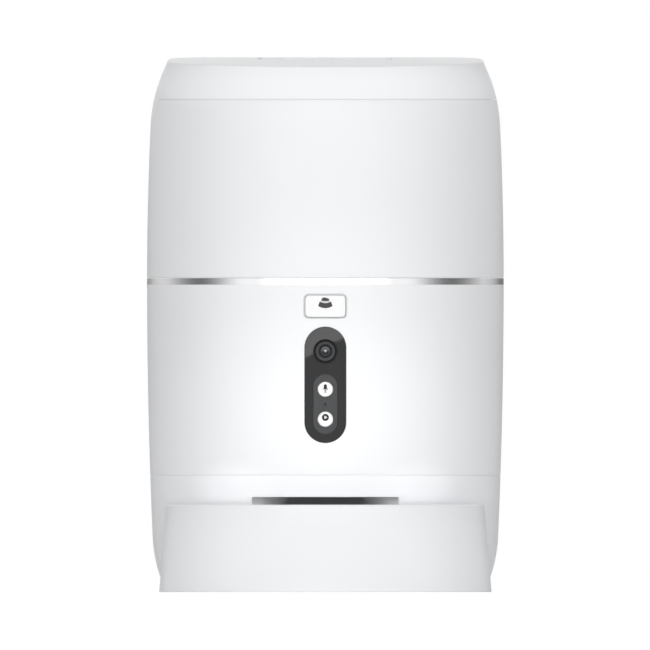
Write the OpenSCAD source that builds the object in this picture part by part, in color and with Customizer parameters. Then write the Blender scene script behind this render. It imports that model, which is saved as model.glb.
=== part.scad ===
// Automatic pet feeder with a front camera: a barrel-shaped food hopper and drive unit on a base,
// with a pull-out bowl tray in front. Millimetres, +Z up, the front faces -Y, floor at Z = 0.

/* [Body] */
// Half width of the body, and the radius of its round front, at the widest level
body_r = 117.7; // [112:0.1:124]
// Straight length of the sides behind the round front
side_len = 37; // [30:1:45]
// Radius of the two back corners at the widest level
corner_r = 45; // [40:1:50]
// Wall thickness of the casings
wall = 2.6; // [2:0.1:3.2]
// Height of the widest level
wide_z = 206; // [200:1:212]
// Radius of the barrel curve below the widest level
barrel_low_r = 3900; // [3000:50:6000]
// Radius of the barrel curve above the widest level
barrel_high_r = 2230; // [1800:10:4000]
// Height where the shoulder begins to round in
shoulder_z = 308.6; // [304:0.1:312]
// Radius of the shoulder
shoulder_r = 96.5; // [85:0.5:120]
// Height below which the foot of the base tucks in
tuck_z = 36; // [30:1:42]
// Radius of that tuck
tuck_r = 88; // [80:1:110]

/* [Levels] */
// Height of the rubber feet
foot_h = 3; // [2:0.1:4]
// Seam between the base and the main housing
base_top = 77; // [75:0.1:82]
// Underside of the bright trim band
trim_z = 202.8; // [199:0.1:206]
// Height of the trim band
trim_h = 4.8; // [3:0.1:7]
// Seam between the hopper and the lid
lid_z = 325; // [322:0.1:328]
// Height of the lid's top face at its front edge
lid_front_z = 347; // [344:0.1:350]
// Slope of the lid's top face, falling to the front, in degrees
lid_tilt = 1.97; // [1:0.01:3]

/* [Lid] */
// Width of the finger recess in the lid
grip_w = 88; // [60:1:110]
// Length of the finger recess, front to back
grip_len = 48; // [35:1:52]
// Depth of the finger recess
grip_depth = 5; // [3:0.1:7]
// Depth of the plug lip below the seam
lip_drop = 8; // [5:0.1:12]
// Thickness of the plug lip
lip_t = 2; // [1.5:0.1:3]
// Radius of the desiccant box
desiccant_r = 30; // [20:0.5:34]
// Height of the desiccant box
desiccant_h = 13; // [9:0.5:14]

/* [Feed button] */
// Outer width of the button frame
feed_w = 29; // [24:0.1:34]
// Outer height of the button frame
feed_h = 16.8; // [14:0.1:20]
// Height of the button's middle
feed_z = 188.6; // [187:0.1:190]
// Corner radius of the frame
feed_corner = 3.6; // [2:0.1:5]
// Width of the frame's line
feed_line = 0.8; // [0.6:0.05:1.2]
// Travel of the button
feed_travel = 1.2; // [0.8:0.1:1.6]

/* [Camera panel] */
// Width of the dark panel
panel_w = 27.7; // [26:0.1:31]
// Height of the dark panel
panel_h = 76.9; // [74:0.1:80]
// Height of the panel's middle
panel_z = 136.7; // [135:0.1:138]
// How far the panel stands proud of the housing
panel_proud = 0.6; // [0.3:0.05:1.2]
// Width of the grey control plate
plate_w = 15.8; // [14:0.1:17]
// Height of the control plate
plate_h = 39.6; // [36:0.1:42]
// Height of the control plate's middle
plate_z = 123.9; // [123:0.1:125]
// Distance from the plate's middle to each round button
button_step = 9.9; // [9:0.1:11]
// Radius of the round buttons
button_r = 4.9; // [4.2:0.1:5.6]
// Travel of the round buttons
button_travel = 0.8; // [0.5:0.1:1]
// Radius of the microphone hole
mic_r = 0.7; // [0.5:0.05:1]
// Height of the lens
lens_z = 158.9; // [157:0.1:161]
// Radius of the lens opening in the panel
lens_r = 8; // [7:0.1:9]
// Radius of the lens glass
glass_r = 4.6; // [4:0.1:5]
// Depth of the boards behind the housing's front
board_depth = 13.5; // [13:0.1:15]
// Thickness of every circuit board
board_t = 1.6; // [1:0.1:2]

/* [Dispenser] */
// Radius of the rotor with its soft tips
rotor_r = 55.2; // [50:0.1:57]
// Height of the rotor blades
rotor_h = 26; // [20:0.5:28]
// Number of rotor blades
blades = 6; // [4:1:8]
// Underside of the rotor housing
deck_z = 131; // [129:0.5:133]
// Thickness of the rotor housing's floor
deck_t = 3; // [2:0.1:4]
// Height of the rotor housing
chamber_h = 34; // [34:0.5:36]
// Radius of the rotor shaft
shaft_r = 4; // [3:0.1:5]
// Half angle of the drop hole, in degrees
drop_angle = 27; // [20:1:28]
// Growth in radius of the funnel for each millimetre of height
funnel_slope = 1.1; // [1:0.01:1.25]
// Thickness of the funnel liner
liner_t = 1.8; // [1.4:0.1:2.4]

/* [Drive] */
// Module of the gear pair
gear_module = 1.5; // [1.2:0.05:1.5]
// Teeth of the rotor gear
gear_teeth = 32; // [28:1:32]
// Teeth of the motor pinion
pinion_teeth = 14; // [13:1:16]
// Face width of the gears
gear_w = 9; // [6:0.5:10]
// Radius of the gearbox
gearbox_r = 18.5; // [15:0.5:20]
// Length of the gearbox
gearbox_h = 22; // [16:0.5:26]
// Radius of the motor can
can_r = 16; // [12:0.5:17.5]
// Length of the motor can
can_h = 32; // [24:0.5:34]

/* [Outlet] */
// Width of the food outlet
outlet_w = 97; // [85:0.5:100]
// Width of the chute's throat
throat_w = 51; // [50:0.5:60]
// Top edge of the outlet
outlet_top = 62.7; // [60:0.1:66]
// Lower edge of the outlet
outlet_low = 34; // [33:0.1:38]

/* [Tray and bowl] */
// Distance of the tray's round front from the body's axis
tray_reach = 115; // [105:0.5:125]
// Radius of the tray's front at the floor
tray_foot_r = 109.7; // [106:0.1:112]
// Radius of the tray's front at its rim
tray_rim_r = 104.9; // [102:0.1:106]
// Height of the tray's rim
tray_h = 57.6; // [54:0.1:59]
// Wall of the tray
tray_wall = 3.2; // [2.4:0.1:4]
// Height of the tray's ledge, where the bowl hangs
ledge_z = 30; // [26:0.1:31]
// Width of the bowl's rim on the ledge
bowl_rim = 3; // [2:0.1:4]
// Sheet thickness of the bowl
bowl_t = 1.2; // [0.8:0.1:2]
// Depth of the bowl under its rim
bowl_depth = 24; // [18:0.5:25]

/* [Power] */
// Diameter of a D cell with its play
cell_d = 34; // [33.6:0.1:34.6]
// Length of a D cell with its contacts
cell_len = 64; // [63:0.5:66]
// Slide of the battery cover
cover_travel = 8; // [6:0.5:8]
// Radius of the speaker
speaker_r = 18; // [14:0.5:19]
// Radius of the power socket's bore
jack_r = 2.9; // [2.5:0.05:3.2]

/* [Clearances] */
// Open seam between casings that come apart
seam = 0.4; // [0.3:0.05:0.6]
// Play round a part that slides or drops in
slide_gap = 0.3; // [0.2:0.05:0.5]
// Radial play of a shaft in its bush
run_gap = 0.05; // [0.03:0.01:0.08]

/* [Hidden] */
$fn = 64;

back_reach = side_len + corner_r;
front_reach = tray_reach + tray_foot_r;
axis_y = (front_reach - back_reach) / 2;
flat_half = body_r - corner_r;
hopper_z = trim_z + trim_h;

// Lid and liner
lid_r = body_r + tuck(lid_z);
flange_r = lid_r - wall - slide_gap;
liner_r = flange_r - 2;
liner_in = liner_r - liner_t;
flange_t = 2.5;
funnel_top = lid_z - 2;
lip_r = liner_in - 0.8;
lid_front_y = front_y(lid_front_z);
grip_edge = 20;
grip_end = (back_reach - grip_edge - lid_front_y) / cos(lid_tilt);
desiccant_front = 40;
desiccant_y = (-desiccant_front - lid_front_y) / cos(lid_tilt);

// Dispenser levels
chamber_r = rotor_r + slide_gap;
chamber_t = 2.5;
chamber_top = deck_z + chamber_h;
neck_top = chamber_top + 3;
rotor_z = deck_z + deck_t + 0.6;
guard_t = 2;
hub_r = 12;
bush_r = shaft_r + 3;
tip_t = 1.6;
tip_len = 5.2;
blade_t = 2.4;
agitator_r = 9;
agitator_h = 12;
agitator_cap = 4;
arm_r = 2.5;
arm_len = 40;
arm_z = 10;
bush_drop = 7;
guard_in = 20;
drop_r0 = 24;
drop_r1 = chamber_r - 2.5;

// Drive levels
gear_drop = 21;
gear_z = deck_z - gear_drop;
frame_t = 3;
frame_z = gear_z - 6;
pinion_y = gear_module * (gear_teeth + pinion_teeth) / 2 + 0.05;
motor_shaft_r = 3;
frame_half = 34;
frame_front = 12;
frame_drop = 5;
frame_post_r = 3.5;
frame_posts = [[30, 0], [24, pinion_y + 7.5]];
gear_hub_r = 9;
motor_screw_x = 13;
motor_screw_r = 1.4;
motor_screw_head = 2.8;
terminal_w = 3;

// Chute lines
chute_t = 2;
chute_back = -20;
chute_front = -chamber_r;
chute_bend_z = deck_z - 13;
chute_end = -(body_r - 3);
chute_lip = front_at(outlet_w / 2, outlet_top, wall);
chute_neck = fine(chute_lip + (outlet_w - throat_w) / 3);
chute_low = outlet_low - 3.2;
chute_high = outlet_top - 1.4;
chute_slope = (chute_low - deck_z) / (chute_end - chute_back);

// Boards behind the front
panel_y = front_y(panel_z);
board_y = panel_y + board_depth;
feed_board_y = front_y(feed_z) + board_depth;
switch_h = 3.6;
switch_tip = 0.5;
press_gap = 0.05;
panel_back = wall + 1.8;
plate_back = panel_back + 1.3;
main_board_y = chamber_r + chamber_t + 4.4;
main_board_w = 84;
board_margin = 6;
board_post_r = 3;
board_low = 17;
board_pitch = 50;
board_rows = [base_top + board_low, base_top + board_low + board_pitch];
chip_w = 20;
chip_t = 1.2;
plug_w = 16;
plug_h = 8;
plug_t = 6;
feed_board_w = 50;
feed_board_h = 10;
feed_post_r = 2.2;
feed_post_x = feed_board_w * 0.4;
panel_board_w = 25.2;
panel_post_x = 10.8;
panel_post_r = 1.7;
camera_board_h = 24;
switch_w = 6;
switch_r = 1.7;
panel_flange = 2.5;
panel_posts = [plate_z - 14.9, plate_z + 15.1, lens_z - 9.4, lens_z + 9.4];

// Base and power
plate_t = 3.4;
plate_top = foot_h + plate_t;
plate_r = body_r + tuck(foot_h) - wall - seam;
bay_w = 3 * cell_d;
bay_y = -10;
bay_t = 1.8;
bay_top = plate_top + cell_d + 1;
post_r = 4.5;
post_h = 24;
post_reach = plate_r - 6.4;
post_spots = [[post_reach * cos(38.3), -post_reach * sin(38.3)], [plate_r - 11.2, side_len * 0.81]];
foot_r = 7.5;
foot_seat = 0.8;
foot_inset = 25;
foot_spots = [[plate_r * 0.7, -plate_r * 0.41], [plate_r - foot_inset, side_len * 1.24]];
screw_r = 1.4;
screw_len = 20;
screw_head_r = 3;
contact_w = 12;
contact_h = 14;
contact_t = 0.5;
contact_z = plate_top + 10;
groove_z = foot_h + 1.1;
groove_h = 1.3;
groove_w = 2.5;
cover_t = 2.3;
speaker_z = 42;
speaker_front = back_y(speaker_z - speaker_r) - wall;
speaker_len = speaker_r * 0.83;
speaker_rim = 3;
slot_step = 4;
slot_h = 1.8;
jack_x = 58;
jack_z = 26;
jack_wall = 2.8;
jack_w = 14;
jack_h = 12;
jack_len = 12;
jack_depth = 9.5;

// Tray
rim_round = tray_wall * 0.42;
ledge_r = tray_at(ledge_z) - tray_wall;
seat_r = body_r + tuck(tray_h) + seam;
tray_back = -60;
tongue_x = 70;
tongue_w = 10;
tongue_z = 8;
tongue_h = 8;
tongue_len = 9;
tongue_end = -sqrt(pow(plate_r - 1, 2) - pow(tongue_x + tongue_w / 2, 2));
bowl_r = min(tray_rim_r - tray_wall, ledge_r) - bowl_rim - 2.4;
bowl_back_r = seat_r + tray_wall + bowl_rim + 1;
bowl_wing = -95;

// Radius of the tray's outer wall at a height
function tray_at(z) = tray_foot_r + (tray_rim_r - tray_foot_r) * z / tray_h;

// Change in half width at a height, measured from the widest level
function tuck(z) = -pow(z - wide_z, 2) / (2 * (z > wide_z ? barrel_high_r : barrel_low_r))
    - (z > shoulder_z ? pow(z - shoulder_z, 2) / (2 * shoulder_r) : 0)
    - (z < tuck_z ? pow(tuck_z - z, 2) / (2 * tuck_r) : 0);

// Front and back of the body at a height, on the middle line
function front_y(z) = -(body_r + tuck(z));
function back_y(z) = back_reach + tuck(z);

// Front of the body beside the middle line, a depth under its surface
function front_at(x, z, depth) = -sqrt(pow(body_r + tuck(z) - depth, 2) - x * x);

// Length rounded to a thousandth, so that neighbouring surfaces meet
function fine(v) = round(v * 1000) / 1000;

// Side line of the body between two heights, as offsets from the widest level
function outline(z0, z1, inset, steps) =
    [for (i = [0 : steps]) let (z = z0 + (z1 - z0) * i / steps) [fine(tuck(z) - inset), fine(z)]];

// Upright side line whose round front has the given radius
function upright(z0, z1, r) = [[fine(r - body_r), fine(z0)], [fine(r - body_r), fine(z1)]];

// Half angle of a gear tooth at a radius, in degrees
function involute(a) = tan(a) * 180 / PI - a;
function tooth_half(r, teeth, play) =
    let (pitch = gear_module * teeth / 2, base = pitch * cos(20))
    90 / teeth - play / pitch * 90 / PI + involute(20) - involute(acos(min(1, base / max(r, base))));

// Outline of a spur gear with one tooth on the X axis
function gear_points(teeth, play) =
    let (pitch = gear_module * teeth / 2,
         foot = pitch - 1.25 * gear_module,
         low = max(foot + 0.05, pitch * cos(20)),
         tip = pitch + 0.85 * gear_module,
         rise = [foot, low, low + (tip - low) * 0.35, low + (tip - low) * 0.7, tip])
    [for (k = [0 : teeth - 1]) for (i = [0 : 9])
        let (r = i < 5 ? rise[i] : rise[9 - i],
             a = 360 * k / teeth + (i < 5 ? -1 : 1) * tooth_half(r, teeth, play))
        [r * cos(a), r * sin(a)]];

// Places a part drawn round the body's axis in the finished frame
module at_axis() {
    translate([0, axis_y, 0]) children();
}

// Solid with the D-shaped plan of the body and the given side line
module round_solid(line) {
    z0 = line[0][1];
    z1 = line[len(line) - 1][1];
    front = concat([[0, z0]], [for (p = line) [body_r + p[0], p[1]]], [[0, z1]]);
    back = concat([[0, z0]], [for (p = line) [corner_r + p[0], p[1]]], [[0, z1]]);
    across = concat([for (p = line) [body_r + p[0], p[1]]],
        [for (i = [len(line) - 1 : -1 : 0]) [-body_r - line[i][0], line[i][1]]]);
    rotate(180) rotate_extrude(angle = 180) polygon(front);
    translate([0, side_len, 0]) rotate([90, 0, 0]) linear_extrude(side_len) polygon(across);
    translate([-flat_half, side_len, 0]) rotate([90, 0, 90]) linear_extrude(2 * flat_half) polygon(back);
    for (s = [0, 1]) mirror([s, 0, 0])
        translate([flat_half, side_len, 0]) rotate_extrude(angle = 90) polygon(back);
}

// Upright ring with the D-shaped plan
module round_ring(z0, z1, r_out, r_in) {
    difference() {
        round_solid(upright(z0, z1, r_out));
        round_solid(upright(z0 - 1, z1 + 1, r_in));
    }
}

// Curved skin over the front between two depths under the surface
module front_skin(z0, z1, d0, d1) {
    steps = 6;
    outer = outline(z0, z1, d0, steps);
    inner = outline(z0, z1, d1, steps);
    rotate(180) rotate_extrude(angle = 180) polygon(concat(
        [for (p = outer) [body_r + p[0], p[1]]],
        [for (i = [steps : -1 : 0]) [body_r + inner[i][0], inner[i][1]]]));
}

// Pushes a flat shape, drawn in X and Z, out through the front
module through_front() {
    rotate([90, 0, 0]) linear_extrude(body_r + 20) children();
}

// Round bar along Y from one depth to another
module bar_y(x, z, y0, y1, r) {
    translate([x, y0, z]) rotate([-90, 0, 0]) cylinder(h = y1 - y0, r = r);
}

// Upright stadium round a height
module stadium(w, h, z) {
    translate([-w / 2, z - (h - w) / 2]) square([w, h - w]);
    for (s = [-1, 1]) translate([0, z + s * (h - w) / 2]) circle(r = w / 2);
}

// Rounded rectangle round a height
module rounded(w, h, r, z) {
    translate([-w / 2, z - h / 2 + r]) square([w, h - 2 * r]);
    translate([-w / 2 + r, z - h / 2]) square([w - 2 * r, h]);
    for (sx = [-1, 1]) for (sz = [-1, 1])
        translate([sx * (w / 2 - r), z + sz * (h / 2 - r)]) circle(r = r);
}

// Ring sector about the front, in plan
module front_sector(r0, r1, half) {
    intersection() {
        difference() {
            circle(r = r1);
            circle(r = r0);
        }
        polygon([for (s = [0, -1, 1]) s == 0 ? [0, 0] : [2 * s * r1 * sin(half), -2 * r1 * cos(half)]]);
    }
}

// Frame of the sloping lid top: its face is Z = 0, Y runs up the slope from the front edge
module lid_frame() {
    translate([0, lid_front_y, lid_front_z]) rotate([lid_tilt, 0, 0]) children();
}

// Side line of a tray wall that ends in a quarter round, turned out or in
function rim_line(r, z, turn) =
    [for (i = [0 : 4]) let (a = 22.5 * i)
        [fine(r - turn * rim_round * (1 - cos(a))), fine(z - rim_round * (1 - sin(a)))]];

// Body of the tray with the given side line and its back cut square
module tray_solid(line, back) {
    last = len(line) - 1;
    translate([0, -tray_reach, 0]) rotate(180) rotate_extrude(angle = 180)
        polygon(concat([[0, line[0][1]]], line, [[0, line[last][1]]]));
    translate([0, back, 0]) rotate([90, 0, 0]) linear_extrude(tray_reach + back)
        polygon(concat(line, [for (i = [last : -1 : 0]) [-line[i][0], line[i][1]]]));
}

// Plan of the bowl, grown by a margin
module bowl_plan(grow) {
    difference() {
        union() {
            translate([0, -tray_reach]) circle(r = bowl_r + grow);
            translate([-bowl_r - grow, -tray_reach])
                square([2 * (bowl_r + grow), tray_reach + bowl_wing + grow]);
        }
        circle(r = bowl_back_r - grow);
        translate([-2 * bowl_r, bowl_wing + grow]) square([4 * bowl_r, 2 * bowl_r]);
    }
}

// Base

module base_shell() {
    color("white") at_axis() difference() {
        union() {
            difference() {
                round_solid(outline(foot_h, base_top, 0, 8));
                round_solid(outline(foot_h - 1, base_top + 1, wall, 8));
            }
            intersection() {
                round_solid(outline(foot_h, base_top, wall / 2, 8));
                union() {
                    for (s = [-1, 1]) for (p = post_spots) translate([s * p[0], p[1], plate_top]) {
                        cylinder(h = post_h, r = post_r);
                        rotate(atan2(p[1] < 0 ? p[1] : 0, s * p[0]))
                            translate([0, -wall / 2, 0]) cube([body_r / 5, wall, post_h]);
                    }
                    bar_y(0, speaker_z, speaker_front - speaker_rim - 6, back_y(speaker_z),
                        speaker_r + bay_t);
                }
            }
        }
        // Seat of the speaker and the slots in front of it
        bar_y(0, speaker_z, speaker_front - speaker_len, speaker_front, speaker_r + 0.1);
        for (i = [-3 : 3]) let (half = sqrt(pow(speaker_r * 0.83, 2) - pow(slot_step * i, 2)))
            translate([-half, speaker_front - wall, speaker_z + slot_step * i - slot_h / 2])
                cube([2 * half, 4 * wall + 10, slot_h]);
        // Screw holes in the posts
        for (s = [-1, 1]) for (p = post_spots)
            translate([s * p[0], p[1], plate_top - 1]) cylinder(h = screw_len, r = screw_r + 0.05);
        // Food outlet, slots for the tray's tongues and hole of the power socket
        intersection() {
            translate([-outlet_w / 2, -body_r - 5, outlet_low])
                cube([outlet_w, body_r / 2, outlet_top - outlet_low]);
            over_chute();
        }
        for (s = [-1, 1])
            translate([s * tongue_x - tongue_w / 2 - slide_gap, -body_r, tongue_z - slide_gap])
                cube([tongue_w + 2 * slide_gap, body_r + tongue_end, tongue_h + 2 * slide_gap]);
        bar_y(jack_x, jack_z, back_y(jack_z) - 4 * wall, back_reach + 5, jack_r + jack_wall + slide_gap);
    }
}

module bottom_plate() {
    color("gainsboro") at_axis() difference() {
        round_solid(upright(foot_h, plate_top, plate_r));
        // Battery opening, with the shallow recess and the grooves in which its cover slides
        translate([-bay_w / 2, bay_y, foot_h - 1]) cube([bay_w, cell_len, plate_t + 2]);
        translate([-bay_w / 2, bay_y, foot_h - 1])
            cube([bay_w, cell_len + cover_travel + slide_gap, cover_t + 1.2]);
        translate([-bay_w / 2 - groove_w, bay_y, groove_z])
            cube([bay_w + 2 * groove_w, cell_len + cover_travel + slide_gap, groove_h]);
        for (s = [-1, 1]) {
            for (p = foot_spots) translate([s * p[0], p[1], foot_h - 1])
                cylinder(h = 1 + foot_seat, r = foot_r + 0.05);
            for (p = post_spots) translate([s * p[0], p[1], foot_h]) {
                translate([0, 0, -1]) cylinder(h = plate_t + 2, r = screw_r + slide_gap);
                translate([0, 0, -0.01])
                    cylinder(h = screw_head_r - 1, r1 = screw_head_r + 0.4, r2 = screw_r);
            }
        }
    }
}

module rubber_feet() {
    color("dimgray") at_axis() for (s = [-1, 1]) for (p = foot_spots)
        translate([s * p[0], p[1], 0]) {
            cylinder(h = foot_seat, r1 = foot_r - foot_seat, r2 = foot_r);
            translate([0, 0, foot_seat]) cylinder(h = foot_h, r = foot_r);
        }
}

module case_screws() {
    color("silver") at_axis() for (s = [-1, 1]) for (p = post_spots)
        translate([s * p[0], p[1], foot_h + 0.3]) difference() {
            union() {
                cylinder(h = screw_head_r - screw_r, r1 = screw_head_r, r2 = screw_r);
                cylinder(h = screw_len, r = screw_r);
            }
            for (a = [0, 90]) rotate(a) translate([-screw_r * 1.3, -screw_r * 0.28, -1])
                cube([screw_r * 2.6, screw_r * 0.56, 1 + screw_r * 0.6]);
        }
}

module battery_box() {
    color("gainsboro") at_axis() difference() {
        translate([-bay_w / 2 - bay_t, bay_y - bay_t, plate_top])
            cube([bay_w + 2 * bay_t, cell_len + 2 * bay_t, bay_top - plate_top + bay_t]);
        translate([-bay_w / 2, bay_y, plate_top - 1]) cube([bay_w, cell_len, bay_top - plate_top + 1]);
    }
}

module battery_contacts() {
    color("silver") at_axis() for (i = [-1 : 1]) {
        translate([i * cell_d - contact_w / 2, bay_y, contact_z]) cube([contact_w, contact_t, contact_h]);
        translate([i * cell_d - contact_w / 2, bay_y + cell_len - contact_t, contact_z])
            cube([contact_w, contact_t, contact_h]);
    }
}

module battery_cover() {
    color("gainsboro") at_axis() difference() {
        union() {
            translate([-bay_w / 2 + slide_gap, bay_y + slide_gap, foot_h])
                cube([bay_w - 2 * slide_gap, cell_len - slide_gap, cover_t]);
            translate([-bay_w / 2 - groove_w + slide_gap, bay_y + slide_gap, groove_z + slide_gap / 2])
                cube([bay_w + 2 * groove_w - 2 * slide_gap, cell_len - slide_gap, groove_h - slide_gap]);
        }
        for (i = [-2 : 2]) translate([-contact_w, bay_y + cell_len * 0.78 + 3 * i, foot_h - 1])
            cube([2 * contact_w, 1.4, 1.6]);
    }
}

module food_chute() {
    color("white") at_axis() intersection() {
        round_solid(outline(foot_h + 20, deck_z, wall + 0.05, 8));
        difference() {
            chute_solid(chute_t, 0);
            chute_solid(0, 1);
        }
    }
}

// Passage of the food, from the rotor housing to the outlet, grown by the wall
module chute_solid(grow, past) {
    intersection() {
        rotate([90, 0, 90]) translate([0, 0, -outlet_w]) linear_extrude(2 * outlet_w) polygon([
            [chute_back + 1.4 * grow + past / chute_slope, deck_z + past],
            [chute_end - past, chute_low - 1.4 * grow - past * chute_slope],
            [chute_end - past, chute_high + grow - past * 0.6],
            [chute_front - grow, chute_bend_z + grow],
            [chute_front - grow, deck_z + past]]);
        translate([0, 0, foot_h]) linear_extrude(deck_z + 5) polygon([
            [throat_w / 2 + grow, 0], [throat_w / 2 + grow, chute_neck + grow * 0.6],
            [outlet_w / 2 + grow, chute_lip + grow * 0.6], [outlet_w / 2 + grow, chute_end - past],
            [-outlet_w / 2 - grow, chute_end - past], [-outlet_w / 2 - grow, chute_lip + grow * 0.6],
            [-throat_w / 2 - grow, chute_neck + grow * 0.6], [-throat_w / 2 - grow, 0]]);
    }
}

// Room over the chute's sloping floor, which gives the outlet its lower edge
module over_chute() {
    rotate([90, 0, 90]) translate([0, 0, -outlet_w]) linear_extrude(2 * outlet_w) polygon([
        [chute_back, deck_z], [chute_end - wall * 4, chute_low - wall * 4 * chute_slope],
        [chute_end - wall * 4, deck_z]]);
}

module speaker() {
    cone = speaker_len * 0.4;
    color("dimgray") at_axis() difference() {
        union() {
            bar_y(0, speaker_z, speaker_front - speaker_rim, speaker_front, speaker_r);
            translate([0, speaker_front - speaker_rim - cone, speaker_z]) rotate([-90, 0, 0])
                cylinder(h = cone, r1 = speaker_r * 0.6, r2 = speaker_r - 1);
            bar_y(0, speaker_z, speaker_front - speaker_len, speaker_front - speaker_rim - cone,
                speaker_r * 0.62);
        }
        translate([0, speaker_front - cone, speaker_z]) rotate([-90, 0, 0])
            cylinder(h = cone + 1, r1 = speaker_r * 0.35, r2 = speaker_r * 0.8);
    }
}

module dc_jack() {
    face = back_y(jack_z) - 0.6;
    inner = back_y(jack_z - jack_h / 2) - wall - 0.2;
    color("black") at_axis() {
        difference() {
            union() {
                translate([jack_x - jack_w / 2, inner - jack_len, jack_z - jack_h / 2])
                    cube([jack_w, jack_len, jack_h]);
                bar_y(jack_x, jack_z, inner - 1, face, jack_r + jack_wall);
            }
            bar_y(jack_x, jack_z, face - jack_depth, face + 1, jack_r);
        }
        bar_y(jack_x, jack_z, face - jack_depth - 0.5, face - 1, jack_r * 0.345);
    }
}

// Main housing, hopper and lid

module main_housing() {
    color("white") at_axis() difference() {
        union() {
            difference() {
                round_solid(outline(base_top, trim_z, 0, 6));
                round_solid(outline(base_top - 1, trim_z + 1, wall, 6));
            }
            for (s = [-1, 1]) {
                for (z = board_rows)
                    bar_y(s * (main_board_w / 2 - board_margin), z, main_board_y + board_t,
                        back_y(z) - wall / 2, board_post_r);
                bar_y(s * feed_post_x, feed_z, front_at(feed_post_x, feed_z, wall / 2), feed_board_y,
                    feed_post_r);
            }
        }
        through_front() rounded(feed_w, feed_h, feed_corner, feed_z);
        through_front() stadium(panel_w, panel_h, panel_z);
    }
}

module main_board() {
    low = board_rows[0] - board_margin;
    high = board_rows[1] + board_margin;
    color("green") at_axis() {
        translate([-main_board_w / 2, main_board_y, low]) cube([main_board_w, board_t, high - low]);
        translate([-chip_w / 2, main_board_y - chip_t, (low + high - chip_w) / 2])
            cube([chip_w, chip_t + 0.1, chip_w]);
        for (s = [-1, 1])
            translate([s * main_board_w * 0.32 - plug_w / 2, main_board_y - plug_t, low + plug_h / 2])
                cube([plug_w, plug_t + 0.1, plug_h]);
    }
}

module trim_band() {
    color("silver") at_axis() difference() {
        round_solid(outline(trim_z, hopper_z, 0, 2));
        round_solid(outline(trim_z - 1, hopper_z + 1, wall * 1.5, 2));
    }
}

module hopper_shell() {
    color("white") at_axis() {
        difference() {
            round_solid(outline(hopper_z, lid_z - seam / 2, 0, 8));
            round_solid(outline(hopper_z - 1, lid_z - seam / 2 + 1, wall, 8));
        }
        // Ledge that carries the funnel
        round_ring(funnel_top - flange_t - 2.5, funnel_top - flange_t, lid_r - 0.2, liner_r + 1);
    }
}

module hopper_funnel() {
    side = liner_t * sqrt(1 + funnel_slope * funnel_slope);
    rise = lid_z - neck_top;
    color("whitesmoke") at_axis() difference() {
        union() {
            intersection() {
                round_solid(upright(chamber_top, funnel_top, liner_r));
                rotate_extrude() polygon([[0, chamber_top], [chamber_r + side, chamber_top],
                    [chamber_r + side, neck_top],
                    [chamber_r + side + rise * funnel_slope, lid_z], [0, lid_z]]);
            }
            round_solid(upright(funnel_top - flange_t, funnel_top, flange_r));
        }
        intersection() {
            round_solid(upright(chamber_top - 1, lid_z, liner_in));
            rotate_extrude() polygon([[0, chamber_top - 1], [chamber_r, chamber_top - 1],
                [chamber_r, neck_top], [chamber_r + rise * funnel_slope, lid_z], [0, lid_z]]);
        }
    }
}

module lid() {
    color("white") at_axis() {
        difference() {
            union() {
                difference() {
                    lid_solid(0);
                    lid_solid(wall);
                }
                intersection() {
                    lid_solid(wall / 2);
                    lid_frame()
                        translate([-grip_w / 2 - wall, grip_end - grip_len - wall, -grip_depth - wall])
                        cube([grip_w + 2 * wall, grip_len + 2 * wall, grip_depth + wall]);
                }
            }
            lid_frame() translate([-grip_w / 2, grip_end - grip_len, -grip_depth])
                cube([grip_w, grip_len, grip_depth + 5]);
        }
        // Ledge over the seal and the plug lip
        round_ring(lid_z + 1, lid_z + 3, lid_r - wall * 0.7, lip_r - lip_t);
        round_ring(lid_z - lip_drop, lid_z + 2, lip_r, lip_r - lip_t);
    }
}

// Lid outline cut off by its sloping top, drawn in by an inset
module lid_solid(inset) {
    intersection() {
        round_solid(outline(lid_z + (inset > 0 ? -1 : seam / 2), lid_front_z + 13, inset, 8));
        lid_frame() translate([-2 * body_r, -body_r, -body_r / 2 - inset])
            cube([4 * body_r, 4 * body_r, body_r / 2]);
    }
}

module lid_seal() {
    color("gray") at_axis() round_ring(funnel_top, lid_z + 1, lip_r + 4, lip_r + 0.05);
}

module desiccant_box() {
    color("whitesmoke") at_axis() lid_frame() translate([0, desiccant_y, -wall - desiccant_h]) difference() {
        cylinder(h = desiccant_h, r = desiccant_r);
        translate([0, 0, bay_t]) cylinder(h = desiccant_h - 2 * bay_t, r = desiccant_r - bay_t);
        for (a = [0 : 30 : 330]) rotate(a) translate([desiccant_r * 0.35, -desiccant_r / 30, -1])
            cube([desiccant_r * 0.5, desiccant_r / 15, 4]);
    }
}

// Dispenser and drive

module rotor_housing() {
    color("whitesmoke") at_axis() difference() {
        union() {
            translate([0, 0, deck_z]) cylinder(h = chamber_h, r = chamber_r + chamber_t);
            translate([0, 0, deck_z - bush_drop]) cylinder(h = bush_drop + 1, r = bush_r + 3);
        }
        translate([0, 0, deck_z + deck_t]) cylinder(h = chamber_h, r = chamber_r);
        translate([0, 0, chamber_top - guard_t]) cylinder(h = guard_t + 1, r = chamber_r + 1.5);
        translate([0, 0, deck_z - bush_drop - 1]) cylinder(h = bush_drop + deck_t + 2, r = bush_r);
        translate([0, 0, deck_z - 1]) linear_extrude(deck_t + 2) front_sector(drop_r0, drop_r1, drop_angle);
    }
}

module drop_guard() {
    color("whitesmoke") at_axis() translate([0, 0, chamber_top - guard_t])
        linear_extrude(guard_t) front_sector(guard_in, chamber_r + 1.4, drop_angle + 15);
}

module upper_bush() {
    color("khaki") at_axis() translate([0, 0, deck_z - bush_drop]) bush(deck_t + bush_drop);
}

module lower_bush() {
    color("khaki") at_axis() translate([0, 0, frame_z - frame_drop]) bush(frame_t + frame_drop);
}

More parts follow.
